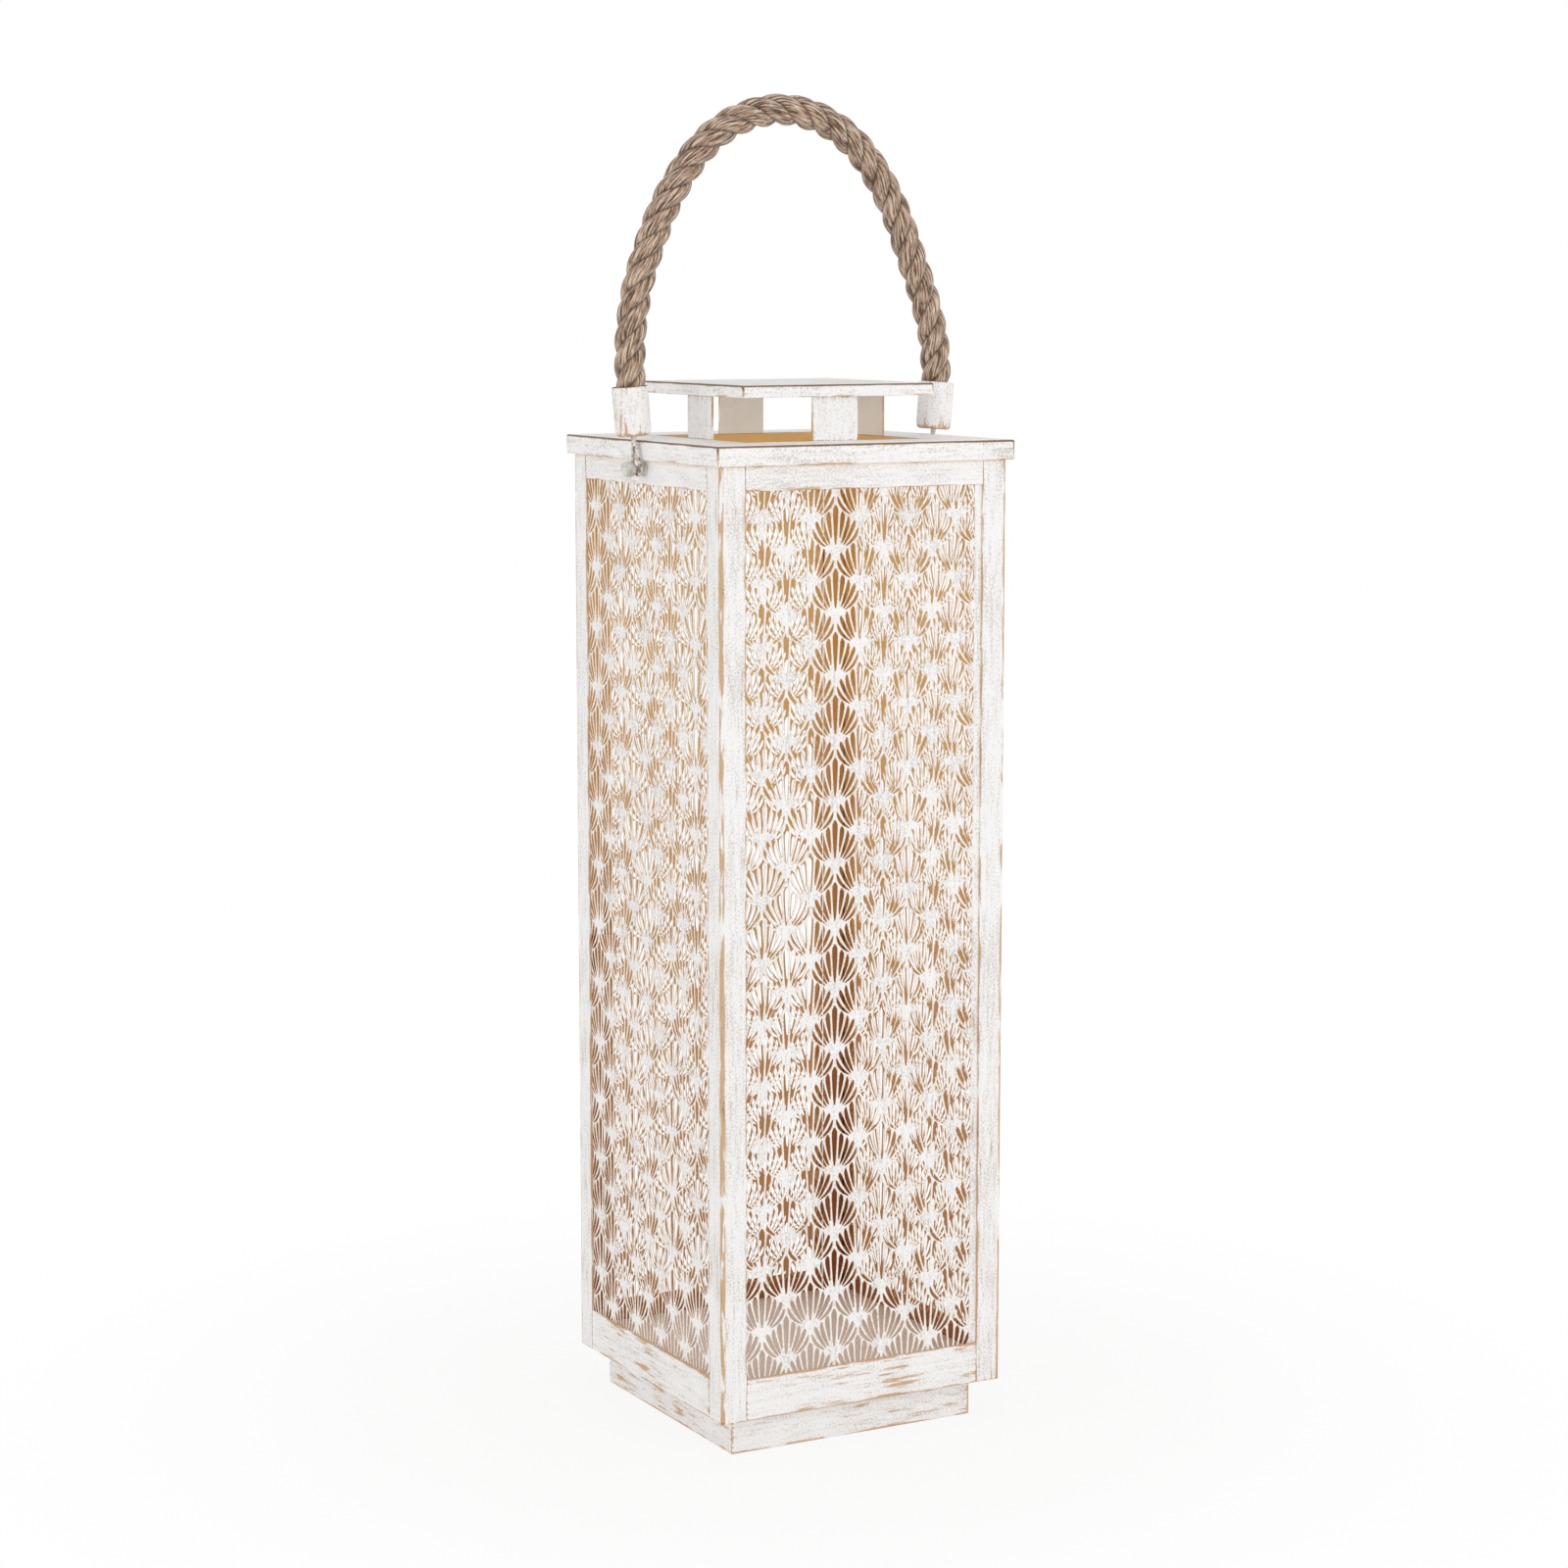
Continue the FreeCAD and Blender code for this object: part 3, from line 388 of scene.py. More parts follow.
def turned(profile, place, sides):
    """A lathe piece: radius, height and wear along a profile from axis to axis, put in place by a matrix."""
    work = bmesh.new()
    layer = work.verts.layers.float.new("edge_wear")
    rings = []
    for radius, height, wear in profile:
        turns = [math.tau * number / sides for number in range(sides if radius else 1)]
        ring = [work.verts.new((radius * math.cos(a), radius * math.sin(a), height)) for a in turns]
        for vert in ring:
            vert[layer] = wear
        rings.append(ring)
    for lower, upper in zip(rings, rings[1:]):
        for at in range(sides):
            corners = [ring[spot % len(ring)] for ring, spot in (
                (lower, at), (lower, (at + 1) % sides), (upper, (at + 1) % sides), (upper, at))]
            work.faces.new(list(dict.fromkeys(corners)))
    bmesh.ops.recalc_face_normals(work, faces=work.faces)
    work.transform(place)
    return work


SOLID_BOARDS = ("plinth", "floor_board", "lid_board", "vent_cap")
DARK_TOPS = ("lid_board", "vent_cap")

# Each piece: direction of its brush strokes, width of its rubbed rim in millimetres, and how far the
# paint is rubbed on its edges and on its broad faces.
BOARDS = {
    "plinth": ("x", 1.2, 0.8, 0.2), "lid_board": ("x", 0.9, 0.5, 0.05), "vent_cap": ("x", 0.8, 0.5, 0.08),
    "post_front_left": ("z", 0.9, 0.95, 0.04), "post_front_right": ("z", 0.9, 0.8, 0.04),
    "post_back_left": ("z", 0.9, 0.8, 0.06), "post_back_right": ("z", 0.9, 0.8, 0.06),
    "bottom_rail_front": ("x", 1.0, 0.8, 0.25), "top_rail_front": ("x", 1.2, 0.6, 0.02),
    "bottom_rail_left": ("y", 1.0, 0.8, 0.16), "top_rail_left": ("y", 1.2, 0.7, 0.14),
    "bottom_rail_right": ("y", 1.0, 0.8, 0.2), "top_rail_right": ("y", 1.2, 0.7, 0.1),
    "door_bottom_rail": ("x", 1.0, 0.8, 0.2), "door_top_rail": ("x", 1.2, 0.6, 0.06),
    "door_stile_hinge": ("z", 1.2, 0.8, 0.06), "door_stile_latch": ("z", 1.2, 0.8, 0.06),
    "vent_tab_front": ("z", 1.0, 0.8, 0.04), "vent_tab_back": ("z", 1.0, 0.8, 0.1),
    "vent_tab_left": ("z", 1.0, 0.9, 0.16), "vent_tab_right": ("z", 1.0, 0.8, 0.1),
}

SQUARE = 0.9995  # least length of a unit normal along an axis for a face square to it
SHARP_ANGLE = 0.8  # radians between the faces of an edge that gets eased
SHORT_EDGE = 2.9 * MM  # edges shorter than this run across a sheet or round a hole
POST_EDGE = 99.5 * MM  # a post's outer fold lies beyond this from both middle planes
POST_CORNER = 97.8 * MM  # and what is rubbed along that fold lies beyond this
TOP_BAND = 1.2 * MM  # height of the rubbed band round the top of the lid and of the cap
BROAD_FACE = 4 * MM  # least width of a face that gets a rim
RIM_SHARE = 0.2  # widest rim, as a share of its face
INWARD = 5 * MM  # a face that looks at the lantern's axis from farther off than this looks inwards
TAB_INWARD = 30 * MM  # the same for the inner side of a vent tab
SKIN = 1.2 * MM  # faces nearer to the body's outside than this belong to its outer skin
TOP_WEAR, FOLD_WEAR, SHADED_WEAR = 2.4, 0.8, 0.05  # on that band, along a fold, and more on the left side, where the extra rubbed paint is painted shade


def flat_groups(work):
    """Faces that lie in one plane square to the frame, grouped by the plane's axis, direction and place."""
    groups = {}
    for face in work.faces:
        axis = max(range(3), key=lambda at: abs(face.normal[at]))
        if abs(face.normal[axis]) > SQUARE:
            plane = (axis, face.normal[axis] > 0, round(face.calc_center_median()[axis], 5))
            groups.setdefault(plane, []).append(face)
    return groups.items()


def sharp_edges(work):
    """Outward edges of a piece, without the short ones across a sheet and round a hole."""
    return [
        edge for edge in work.edges
        if edge.is_convex and edge.calc_face_angle(0) > SHARP_ANGLE and edge.calc_length() > SHORT_EDGE
    ]


def ease_edges(work, edges, radius, segments):
    """Round some edges of a piece."""
    bmesh.ops.bevel(work, geom=edges, offset=radius, offset_type="OFFSET", segments=segments, profile=0.5,
                    affect="EDGES", clamp_overlap=True)


def off_middle(vert):
    """Distance of a corner from the nearer one of the lantern's two upright middle planes."""
    return min(abs(vert.co.x), abs(vert.co.y))


def worn_board(node, rim, edge_wear, flat_wear):
    """A board or sheet piece with eased edges and, on each broad face, a rim of rubbed paint."""
    sizes = bpy.context.scene.lantern_sizes
    post = node.startswith("post_")
    work = bmesh.new()
    work.from_mesh(frame["nodes"][node].data)
    bmesh.ops.remove_doubles(work, verts=work.verts, dist=WELD)
    bmesh.ops.dissolve_limit(work, angle_limit=0.01, verts=work.verts, edges=work.edges)
    if post:
        folds = [edge for edge in sharp_edges(work) if all(off_middle(vert) > POST_EDGE for vert in edge.verts)]
        ease_edges(work, folds, sizes.fold_radius, segments=4)
    radius = sizes.board_ease if node in SOLID_BOARDS else sizes.sheet_ease
    ease_edges(work, sharp_edges(work), radius, segments=2)
    layer = work.verts.layers.float.new("edge_wear")
    top = max(vert.co.z for vert in work.verts)
    for vert in work.verts:
        if node in DARK_TOPS and vert.co.z > top - TOP_BAND:
            vert[layer] = TOP_WEAR
        else:
            vert[layer] = FOLD_WEAR if post and off_middle(vert) > POST_CORNER else edge_wear
    for (axis, positive, _), faces in flat_groups(work):
        spots = [vert.co for face in faces for vert in face.verts]
        spans = sorted(max(spot[at] for spot in spots) - min(spot[at] for spot in spots) for at in range(3))
        if spans[1] < BROAD_FACE:
            continue
        bmesh.ops.inset_region(work, faces=faces, thickness=min(rim, RIM_SHARE * spans[1]), use_even_offset=True,
                               use_boundary=True)
        # Broad faces that look left get more rubbed paint: wear, laid on more heavily as painted shade on the side
        # away from the key lamp.
        shaded = axis == 0 and not positive and node not in DARK_TOPS
        for face in faces:
            for vert in face.verts:
                vert[layer] = flat_wear + (SHADED_WEAR if shaded else 0.0)
    bmesh.ops.dissolve_degenerate(work, dist=WELD, edges=work.edges)
    return work


def inner_side(face):
    """Whether a face looks into the lantern, behind the frame's outer skin."""
    middle = face.calc_center_median()
    depth = BODY_HALF - max(abs(middle.x), abs(middle.y))
    inwards = middle.x * face.normal.x + middle.y * face.normal.y < -INWARD
    return depth > SKIN and (inwards or abs(face.normal.z) > 0.9)


def board_side(node, face):
    """Slot of a face's finish: the wash, what lies behind it, or the wash brushed across."""
    if node.startswith("vent_tab"):
        return int(face.normal.dot(face.calc_center_median().xy.to_3d()) < -TAB_INWARD)
    if node == "lid_board" and inner_side(face) and face.normal.z < 0.5:
        return 1
    if node in SOLID_BOARDS:
        return 2 if abs(face.normal.x) > 0.7 else 0
    return int(inner_side(face))


class LANTERN_OT_boards(bpy.types.Operator):
    """Posts, rails, door frame, plinth, lid, vent and floor with eased, rubbed edges"""
    bl_idname = "lantern.boards"
    bl_label = "Washed frame and boards"

    def execute(self, context):
        for node, (grain, rim, edge_wear, flat_wear) in BOARDS.items():
            work = worn_board(node, rim * MM, edge_wear, flat_wear)
            for face in work.faces:
                face.material_index = board_side(node, face)
            behind = {"vent": "vent_grey", "post": "folded_undercoat"}.get(node.split("_")[0], "undercoat")
            piece = new_piece(f"{node}_washed", work, f"washed_board_{grain}", behind, "washed_board_y")
            settle(piece, BODY_OF[node], "washed_board" if node in SOLID_BOARDS else "washed_metal", node)
        work = worn_board("floor_board", rim=2.0 * MM, edge_wear=0.0, flat_wear=0.0)
        piece = new_piece("floor_board_painted", work, "floor_plate")
        settle(piece, BODY_OF["floor_board"], "washed_board", "floor_board")
        return {"FINISHED"}


# The slots of half a fan, the middle one first, from the palm outwards: stations of the middle line and
# full width, as shares of the pitch, the rise and the pitch.
FAN_SLOTS = (
    ((0.0, 0.225, 0.026), (0.0, 0.32, 0.060), (0.0, 0.50, 0.090), (0.0, 0.68, 0.114), (0.0, 0.78, 0.112),
     (0.0, 0.845, 0.030)),
    ((0.088, 0.325, 0.022), (0.107, 0.43, 0.060), (0.126, 0.53, 0.084), (0.141, 0.63, 0.097),
     (0.143, 0.69, 0.092), (0.137, 0.742, 0.026)),
    ((0.118, 0.243, 0.022), (0.153, 0.30, 0.054), (0.201, 0.40, 0.076), (0.242, 0.50, 0.082),
     (0.265, 0.60, 0.070), (0.263, 0.662, 0.022)),
    ((0.165, 0.217, 0.022), (0.233, 0.30, 0.058), (0.301, 0.40, 0.074), (0.357, 0.50, 0.080),
     (0.383, 0.558, 0.066), (0.391, 0.596, 0.022)),
    ((0.205, 0.198, 0.018), (0.294, 0.25, 0.048), (0.356, 0.30, 0.060), (0.402, 0.35, 0.064),
     (0.437, 0.41, 0.056), (0.462, 0.477, 0.018)),
)
FLAT_SNAP = 1e-7  # metres within which two corners of a slot's outline are one
SLIVER = 1e-12  # a triangle of less than half this area, in square metres, is left out
TILE_WELD = 1e-5  # metres within which two tiles grow together
CUT_SHY = 0.03 * MM  # keeps the cut of a sheet off the end points of its slots
CUT_SNAP, CUT_WELD = 5e-6, 2e-6  # metres within which a corner lies on the cut, and in which its corners are one


def slot_outline(stations, pitch, rise, hand, grown):
    """Outline of one slot, grown by a margin."""
    line = [Vector((across * pitch, up * rise)) for across, up, _ in stations]
    ends = [line[0] * 2 - line[1], *line, line[-1] * 2 - line[-2]]
    left, right = [], []
    for spot, before, after, (_, _, width) in zip(line, ends, ends[2:], stations):
        ahead = (after - before).normalized()
        half = Vector((ahead.y, -ahead.x)) * (width * pitch / 2 + grown)
        end = grown if spot == line[-1] else -grown if spot == line[0] else 0.0
        left.append(spot - half + ahead * end)
        right.append(spot + half + ahead * end)
    return [Vector((hand * spot.x, spot.y)) for spot in (*right, *left[::-1])]


def clipped(outline, axis, limit, keep_below):
    """The part of an outline on one side of a line square to an axis."""
    kept = []
    sign = 1 if keep_below else -1
    for first, second in zip(outline, outline[1:] + outline[:1]):
        ahead, behind = sign * (limit - first[axis]), sign * (limit - second[axis])
        if ahead >= 0:
            kept.append(first)
        if ahead * behind < 0:
            crossing = first.lerp(second, ahead / (ahead - behind))
            crossing[axis] = limit
            kept.append(crossing)
    return kept


def inside(spot, outline):
    """Whether a point lies in an outline."""
    odd = False
    for first, second in zip(outline, outline[1:] + outline[:1]):
        if (first.y > spot.y) != (second.y > spot.y):
            odd ^= spot.x < first.x + (spot.y - first.y) * (second.x - first.x) / (second.y - first.y)
    return odd


def tile_slots(pitch, rise, grown):
    """Outlines of all slots that reach into one repeat of the fretwork, cut off at its border."""
    fan = [slot_outline(slot, pitch, rise, hand, grown) for slot in FAN_SLOTS[1:] for hand in (1, -1)]
    fan.append(slot_outline(FAN_SLOTS[0], pitch, rise, 1, grown))
    feet = [(across * pitch, up * rise) for across in (-1, 0, 1, 2) for up in (-1, 0, 1)]
    feet += [((across + 0.5) * pitch, (up + 0.5) * rise) for across in (-1, 0, 1) for up in (-2, -1, 0, 1)]
    shapes = []
    for foot in feet:
        for outline in fan:
            shape = [spot + Vector(foot) for spot in outline]
            for axis, limit, below in ((0, 0, False), (0, pitch, True), (1, 0, False), (1, rise, True)):
                shape = clipped(shape, axis, limit, below)
            if len(shape) > 2:
                shapes.append(shape)
    return shapes


def fan_tile(pitch, rise, thick, rub):
    """One repeat of the fretwork, two fans in area: front, rubbed slot edges, back and the slots' walls."""
    slots = tile_slots(pitch, rise, 0.0)
    rubbed = tile_slots(pitch, rise, rub)
    spots = [Vector(corner) for corner in ((0, 0), (pitch, 0), (pitch, rise), (0, rise))]
    edges = []
    for shape in slots + rubbed:
        first = len(spots)
        spots += shape
        edges += [(first + at, first + (at + 1) % len(shape)) for at in range(len(shape))]
    flat, _, triangles, *_ = delaunay_2d_cdt(spots, edges, [], 0, FLAT_SNAP, False)
    work = bmesh.new()
    side = work.faces.layers.int.new("cut_side")
    fronts = [work.verts.new((spot.x, spot.y, thick / 2)) for spot in flat]
    backs = [work.verts.new((spot.x, spot.y, -thick / 2)) for spot in flat]
    solid = []
    worn = set()
    for triangle in triangles:
        first, second, third = (flat[at] for at in triangle)
        middle = (first + second + third) / 3
        sliver = abs((second - first).cross(third - first)) < SLIVER
        if not sliver and not any(inside(middle, shape) for shape in slots):
            solid.append(triangle)
            if any(inside(middle, shape) for shape in rubbed):
                worn.add(tuple(triangle))
    sides = {}
    for triangle in solid:
        work.faces.new([fronts[at] for at in triangle])[side] = int(tuple(triangle) in worn)
        work.faces.new([backs[at] for at in triangle[::-1]])[side] = 2
        sides.update(dict.fromkeys(zip(triangle, [*triangle[1:], triangle[0]])))
    for first, second in sides:
        on_rim = any(
            abs(flat[first][axis] - limit) < WELD and abs(flat[second][axis] - limit) < WELD
            for axis, limit in ((0, 0), (0, pitch), (1, 0), (1, rise)))
        if (second, first) not in sides and not on_rim:
            work.faces.new((fronts[second], fronts[first], backs[first], backs[second]))[side] = 1
    loose = [vert for vert in work.verts if not vert.link_faces]
    bmesh.ops.delete(work, geom=loose, context="VERTS")
    mesh = bpy.data.meshes.new("fan_tile")
    work.to_mesh(mesh)
    work.free()
    return mesh


def new_tree(name, **inputs):
    """An empty geometry node tree, and the sockets that give its inputs."""
    tree = bpy.data.node_groups.new(name, "GeometryNodeTree")
    tree.interface.new_socket("Geometry", in_out="OUTPUT", socket_type="NodeSocketGeometry")
    for title, kind in inputs.items():
        tree.interface.new_socket(title, in_out="INPUT", socket_type=f"NodeSocket{kind}")
    return tree, add_node(tree, "NodeGroupInput").outputs


def fan_tree():
    """Node tree that repeats the fan tile across and up a sheet and gives its faces their finishes."""
    tree, given = new_tree(
        "fan_fretwork", tile="Object", columns="Int", rows="Int", pitch="Float", rise="Float", first_foot="Vector",
        face_finish="Material", cut_finish="Material", back_finish="Material")
    spans = []
    for count, pitch in (("columns", "pitch"), ("rows", "rise")):
        gaps = add_node(tree, "ShaderNodeMath", {0: given[count], 1: 1.0}, operation="SUBTRACT")
        spans.append(add_node(tree, "ShaderNodeMath", {0: gaps, 1: given[pitch]}, operation="MULTIPLY"))
    grid = add_node(tree, "GeometryNodeMeshGrid", {
        "Size X": spans[0], "Size Y": spans[1], "Vertices X": given["columns"], "Vertices Y": given["rows"]})
    halves = [add_node(tree, "ShaderNodeMath", {0: span, 1: 0.5}, operation="MULTIPLY") for span in spans]
    middle = add_node(tree, "ShaderNodeCombineXYZ", {"X": halves[0], "Y": halves[1]})
    start = add_node(tree, "ShaderNodeVectorMath", {0: middle, 1: given["first_foot"]})
    moved = add_node(tree, "GeometryNodeTransform", {"Geometry": grid, "Translation": start})
    tile = add_node(tree, "GeometryNodeObjectInfo", {"Object": given["tile"]}).outputs["Geometry"]
    copies = add_node(tree, "GeometryNodeInstanceOnPoints", {"Points": moved, "Instance": tile})
    real = add_node(tree, "GeometryNodeRealizeInstances", {"Geometry": copies})
    whole = add_node(tree, "GeometryNodeMergeByDistance", {"Geometry": real, "Distance": TILE_WELD})
    side = add_node(tree, "GeometryNodeInputNamedAttribute", {"Name": "cut_side"}, data_type="INT")
    for number, finish in enumerate(("face_finish", "cut_finish", "back_finish")):
        # Sockets 2 and 3 of a Compare node take whole numbers.
        chosen = add_node(tree, "FunctionNodeCompare", {2: side, 3: number}, data_type="INT", operation="EQUAL")
        whole = add_node(tree, "GeometryNodeSetMaterial", {
            "Geometry": whole, "Selection": chosen, "Material": given[finish]})
    add_node(tree, "NodeGroupOutput", {"Geometry": whole})
    return tree


def from_nodes(name, tree, **inputs):
    """Run a node tree once and keep its result as a plain mesh."""
    holder = bpy.data.objects.new(name, bpy.data.meshes.new(name))
    bpy.context.collection.objects.link(holder)
    modifier = holder.modifiers.new(name, "NODES")
    modifier.node_group = tree
    for item in tree.interface.items_tree:
        if item.in_out == "INPUT":
            modifier[item.identifier] = inputs[item.name]
    graph = bpy.context.evaluated_depsgraph_get()
    mesh = bpy.data.meshes.new_from_object(holder.evaluated_get(graph))
    bpy.data.objects.remove(holder)
    return mesh


def trim_sheet(mesh, low, high, border, thick):
    """Cut a pierced sheet to its rectangle, close the cut edges and add its plain border."""
    work = bmesh.new()
    work.from_mesh(mesh)
    for axis, limit, sign in ((0, low.x + CUT_SHY, -1), (0, high.x - border, 1), (1, low.y, -1), (1, high.y, 1)):
        spot, normal = Vector(), Vector()
        spot[axis], normal[axis] = limit, sign
        bmesh.ops.bisect_plane(work, geom=[*work.verts, *work.edges, *work.faces], dist=CUT_SNAP,
                               plane_co=spot, plane_no=normal, clear_outer=True)
    bmesh.ops.remove_doubles(work, verts=work.verts, dist=CUT_WELD)
    backs = [vert for vert in work.verts if vert.co.z < 0]
    nearest = KDTree(len(backs))
    for number, vert in enumerate(backs):
        nearest.insert(vert.co, number)
    nearest.balance()
    rims = [edge for edge in work.edges if edge.is_boundary and all(vert.co.z > 0 for vert in edge.verts)]
    for edge in rims:
        loop = edge.link_loops[0]
        first, second = loop.vert, loop.link_loop_next.vert
        lower = [backs[nearest.find(vert.co - thick * UP)[1]] for vert in (first, second)]
        work.faces.new((second, first, *lower)).material_index = 1
    if border:
        middle = Matrix.Translation((high.x - border / 2, (low.y + high.y) / 2, 0))
        strip = bmesh.ops.create_cube(work, matrix=middle @ Matrix.Diagonal((border, high.y - low.y, thick, 1)))
        for face in {face for vert in strip["verts"] for face in vert.link_faces}:
            face.material_index = 0 if face.normal.z > 0.5 else 2 if face.normal.z < -0.5 else 1
    work.to_mesh(mesh)
    work.free()


class LANTERN_OT_fretwork(bpy.types.Operator):
    """Four sheets pierced with staggered fans of slots"""
    bl_idname = "lantern.fretwork"
    bl_label = "Fan fretwork"

    def execute(self, context):
        sizes = context.scene.lantern_sizes
        face, cut, back = (finishes()[name] for name in ("washed_fretwork", "cut_edge", "dusted_undercoat"))
        tree = fan_tree()
        pitch, rise, thick = sizes.fan_pitch, sizes.fan_rise, sizes.slot_wall
        tile = bpy.data.objects.new("fan_tile", fan_tile(pitch, rise, thick, sizes.slot_rub))
        context.collection.objects.link(tile)
        for finish in (face, cut, back):
            tile.data.materials.append(finish)
        for side, turn in TURNS.items():
            node = "door_fretwork" if side == "back" else f"fretwork_{side}"
            upright = Matrix.Rotation(math.radians(turn), 4, "Z") @ Matrix.Rotation(math.radians(90), 4, "X")
            corners = [upright.inverted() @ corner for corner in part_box(node)]
            low = Vector(map(min, *corners))
            high = Vector(map(max, *corners))
            first_x = sizes.fan_shift + pitch * math.floor((low.x - sizes.fan_shift) / pitch)
            first_y = sizes.fan_foot + rise * math.floor((low.y - sizes.fan_foot) / rise)
            mesh = from_nodes(
                f"{node}_fans", tree, tile=tile, pitch=pitch, rise=rise, first_foot=(first_x, first_y, 0.0),
                columns=math.ceil((high.x - first_x) / pitch), rows=math.ceil((high.y - first_y) / rise),
                face_finish=face, cut_finish=cut, back_finish=back)
            trim_sheet(mesh, low, high, sizes.plain_border if side == "front" else 0.0, thick)
            mesh.transform(upright @ Matrix.Translation((0, 0, high.z - thick / 2)))
            piece = bpy.data.objects.new(f"{node}_fans", mesh)
            context.collection.objects.link(piece)
            settle(piece, BODY_OF[node], "washed_metal", node)
        bpy.data.objects.remove(tile)
        return {"FINISHED"}


def rope_line():
    """Points along the rope's smooth middle line, close together and evenly spaced."""
    curve = bpy.data.curves.new("rope_line", "CURVE")
    curve.dimensions = "3D"
    curve.resolution_u = 24
    spline = curve.splines.new("NURBS")
    spline.points.add(len(ROPE_ROUTE) - 1)
    for point, (across, up) in zip(spline.points, ROPE_ROUTE):
        point.co = (across, 0.0, up, 1.0)
    spline.order_u = 3
    spline.use_endpoint_u = True
    holder = bpy.data.objects.new("rope_line", curve)
    bpy.context.collection.objects.link(holder)
    graph = bpy.context.evaluated_depsgraph_get()
    mesh = bpy.data.meshes.new_from_object(holder.evaluated_get(graph))
    raw = [vert.co.copy() for vert in mesh.vertices]
    bpy.data.objects.remove(holder)
    line = [raw[0]]
    for spot in raw[1:]:
        while (spot - line[-1]).length >= ROPE_STEP:
            line.append(line[-1] + (spot - line[-1]).normalized() * ROPE_STEP)
    return line


def headings(line):
    """Direction of travel at each point of a line."""
    ends = [line[0] * 2 - line[1], *line, line[-1] * 2 - line[-2]]
    return [(after - before).normalized() for before, after in zip(ends, ends[2:])]


def gathered(line, mouth):
    """Share of the rope's girth at each point of its line: less where it enters a ferrule."""
    shares = []
    for at in range(len(line)):
        free = (min(at, len(line) - 1 - at) * ROPE_STEP - mouth) / MOUTH_TAPER
        shares.append(MOUTH_GIRTH + (1 - MOUTH_GIRTH) * min(max(free, 0.0), 1.0))
    return shares


def strand(work, line, turn, sizes, layers):
    """One strand of the rope: a helix of yarns laid round the middle line."""
    crown_layer, reach_layer, fibre_layer = layers
    sides = sizes.yarns * YARN_SIDES
    helix = sizes.rope_radius - sizes.strand_radius
    girth = gathered(line, sizes.ferrule_length - FERRULE_LAP)
    aside = Vector((0, 1, 0))
    middles, outward = [], []
    for at, (spot, ahead) in enumerate(zip(line, headings(line))):
        angle = math.tau * at * ROPE_STEP / sizes.rope_lay + turn
        out = aside * math.cos(angle) + ahead.cross(aside) * math.sin(angle)
        middles.append(spot + out * helix * girth[at])
        outward.append(out)
    rings = []
    for at, (core, spot, out, ahead) in enumerate(zip(line, middles, outward, headings(middles))):
        beside = ahead.cross(out).normalized()
        twist = -math.tau * at * ROPE_STEP / sizes.yarn_twist
        ring = []
        for number in range(sides):
            angle = math.tau * number / sides + twist
            crown = abs(math.cos(math.pi * number / YARN_SIDES))
            radius = sizes.strand_radius * (1 - YARN_GROOVE * (1 - crown)) * girth[at]
            vert = work.verts.new(spot + out * (radius * math.cos(angle)) + beside * (radius * math.sin(angle)))
            vert[crown_layer] = crown
            vert[reach_layer] = (vert.co - core).length / (sizes.rope_radius * girth[at])
            ring.append(vert)
        rings.append(ring)
    for at, (lower, upper) in enumerate(zip(rings, rings[1:])):
        for number in range(sides):
            after = (number + 1) % sides
            face = work.faces.new((lower[number], lower[after], upper[after], upper[number]))
            for loop, (across, along) in zip(face.loops, ((0, 0), (1, 0), (1, 1), (0, 1))):
                # Each strand starts elsewhere in the fibre's pattern.
                loop[fibre_layer].uv = ((number + across) / YARN_SIDES + turn * 5, (at + along) * ROPE_STEP + turn)
    work.faces.new(rings[0][::-1])
    work.faces.new(rings[-1])


class LANTERN_OT_rope(bpy.types.Operator):
    """Three-strand jute rope from ferrule to ferrule"""
    bl_idname = "lantern.rope"
    bl_label = "Rope handle"

    def execute(self, context):
        sizes = context.scene.lantern_sizes
        line = rope_line()
        work = bmesh.new()
        floats = work.verts.layers.float
        layers = floats.new("yarn_crown"), floats.new("reach"), work.loops.layers.uv.new("fibre")
        for number in range(sizes.strands):
            strand(work, line, math.tau * number / sizes.strands, sizes, layers)
        piece = new_piece("rope_strands", work, "jute", smooth=True)
        settle(piece, "handle", "rope", "rope_handle")
        return {"FINISHED"}


# Half profile of a ferrule: shares of its radius and of its length, and wear. The high wear inside its mouth is
# painted shade: the bore round the rope is coloured dark bare brown.
FERRULE_PROFILE = (
    (0.0, 0.0, 0.5), (0.80, 0.0, 1.2), (0.90, 0.02, 1.2), (0.97, 0.06, 0.8), (1.0, 0.12, 0.5), (1.0, 0.3, 0.35),
    (1.0, 0.6, 0.25), (1.0, 0.9, 0.25), (1.0, 0.98, 0.35), (0.985, 1.0, 0.6), (0.95, 1.0, 0.9), (0.94, 0.99, 2.6),
    (0.94, 0.80, 2.8), (0.0, 0.78, 2.8),
)


def frame_piece(name, node, material):
    """A fitting of the frame with a smooth skin."""
    work = bmesh.new()
    work.from_mesh(frame["nodes"][node].data)
    bmesh.ops.remove_doubles(work, verts=work.verts, dist=WELD)
    return new_piece(name, work, material, smooth=True)


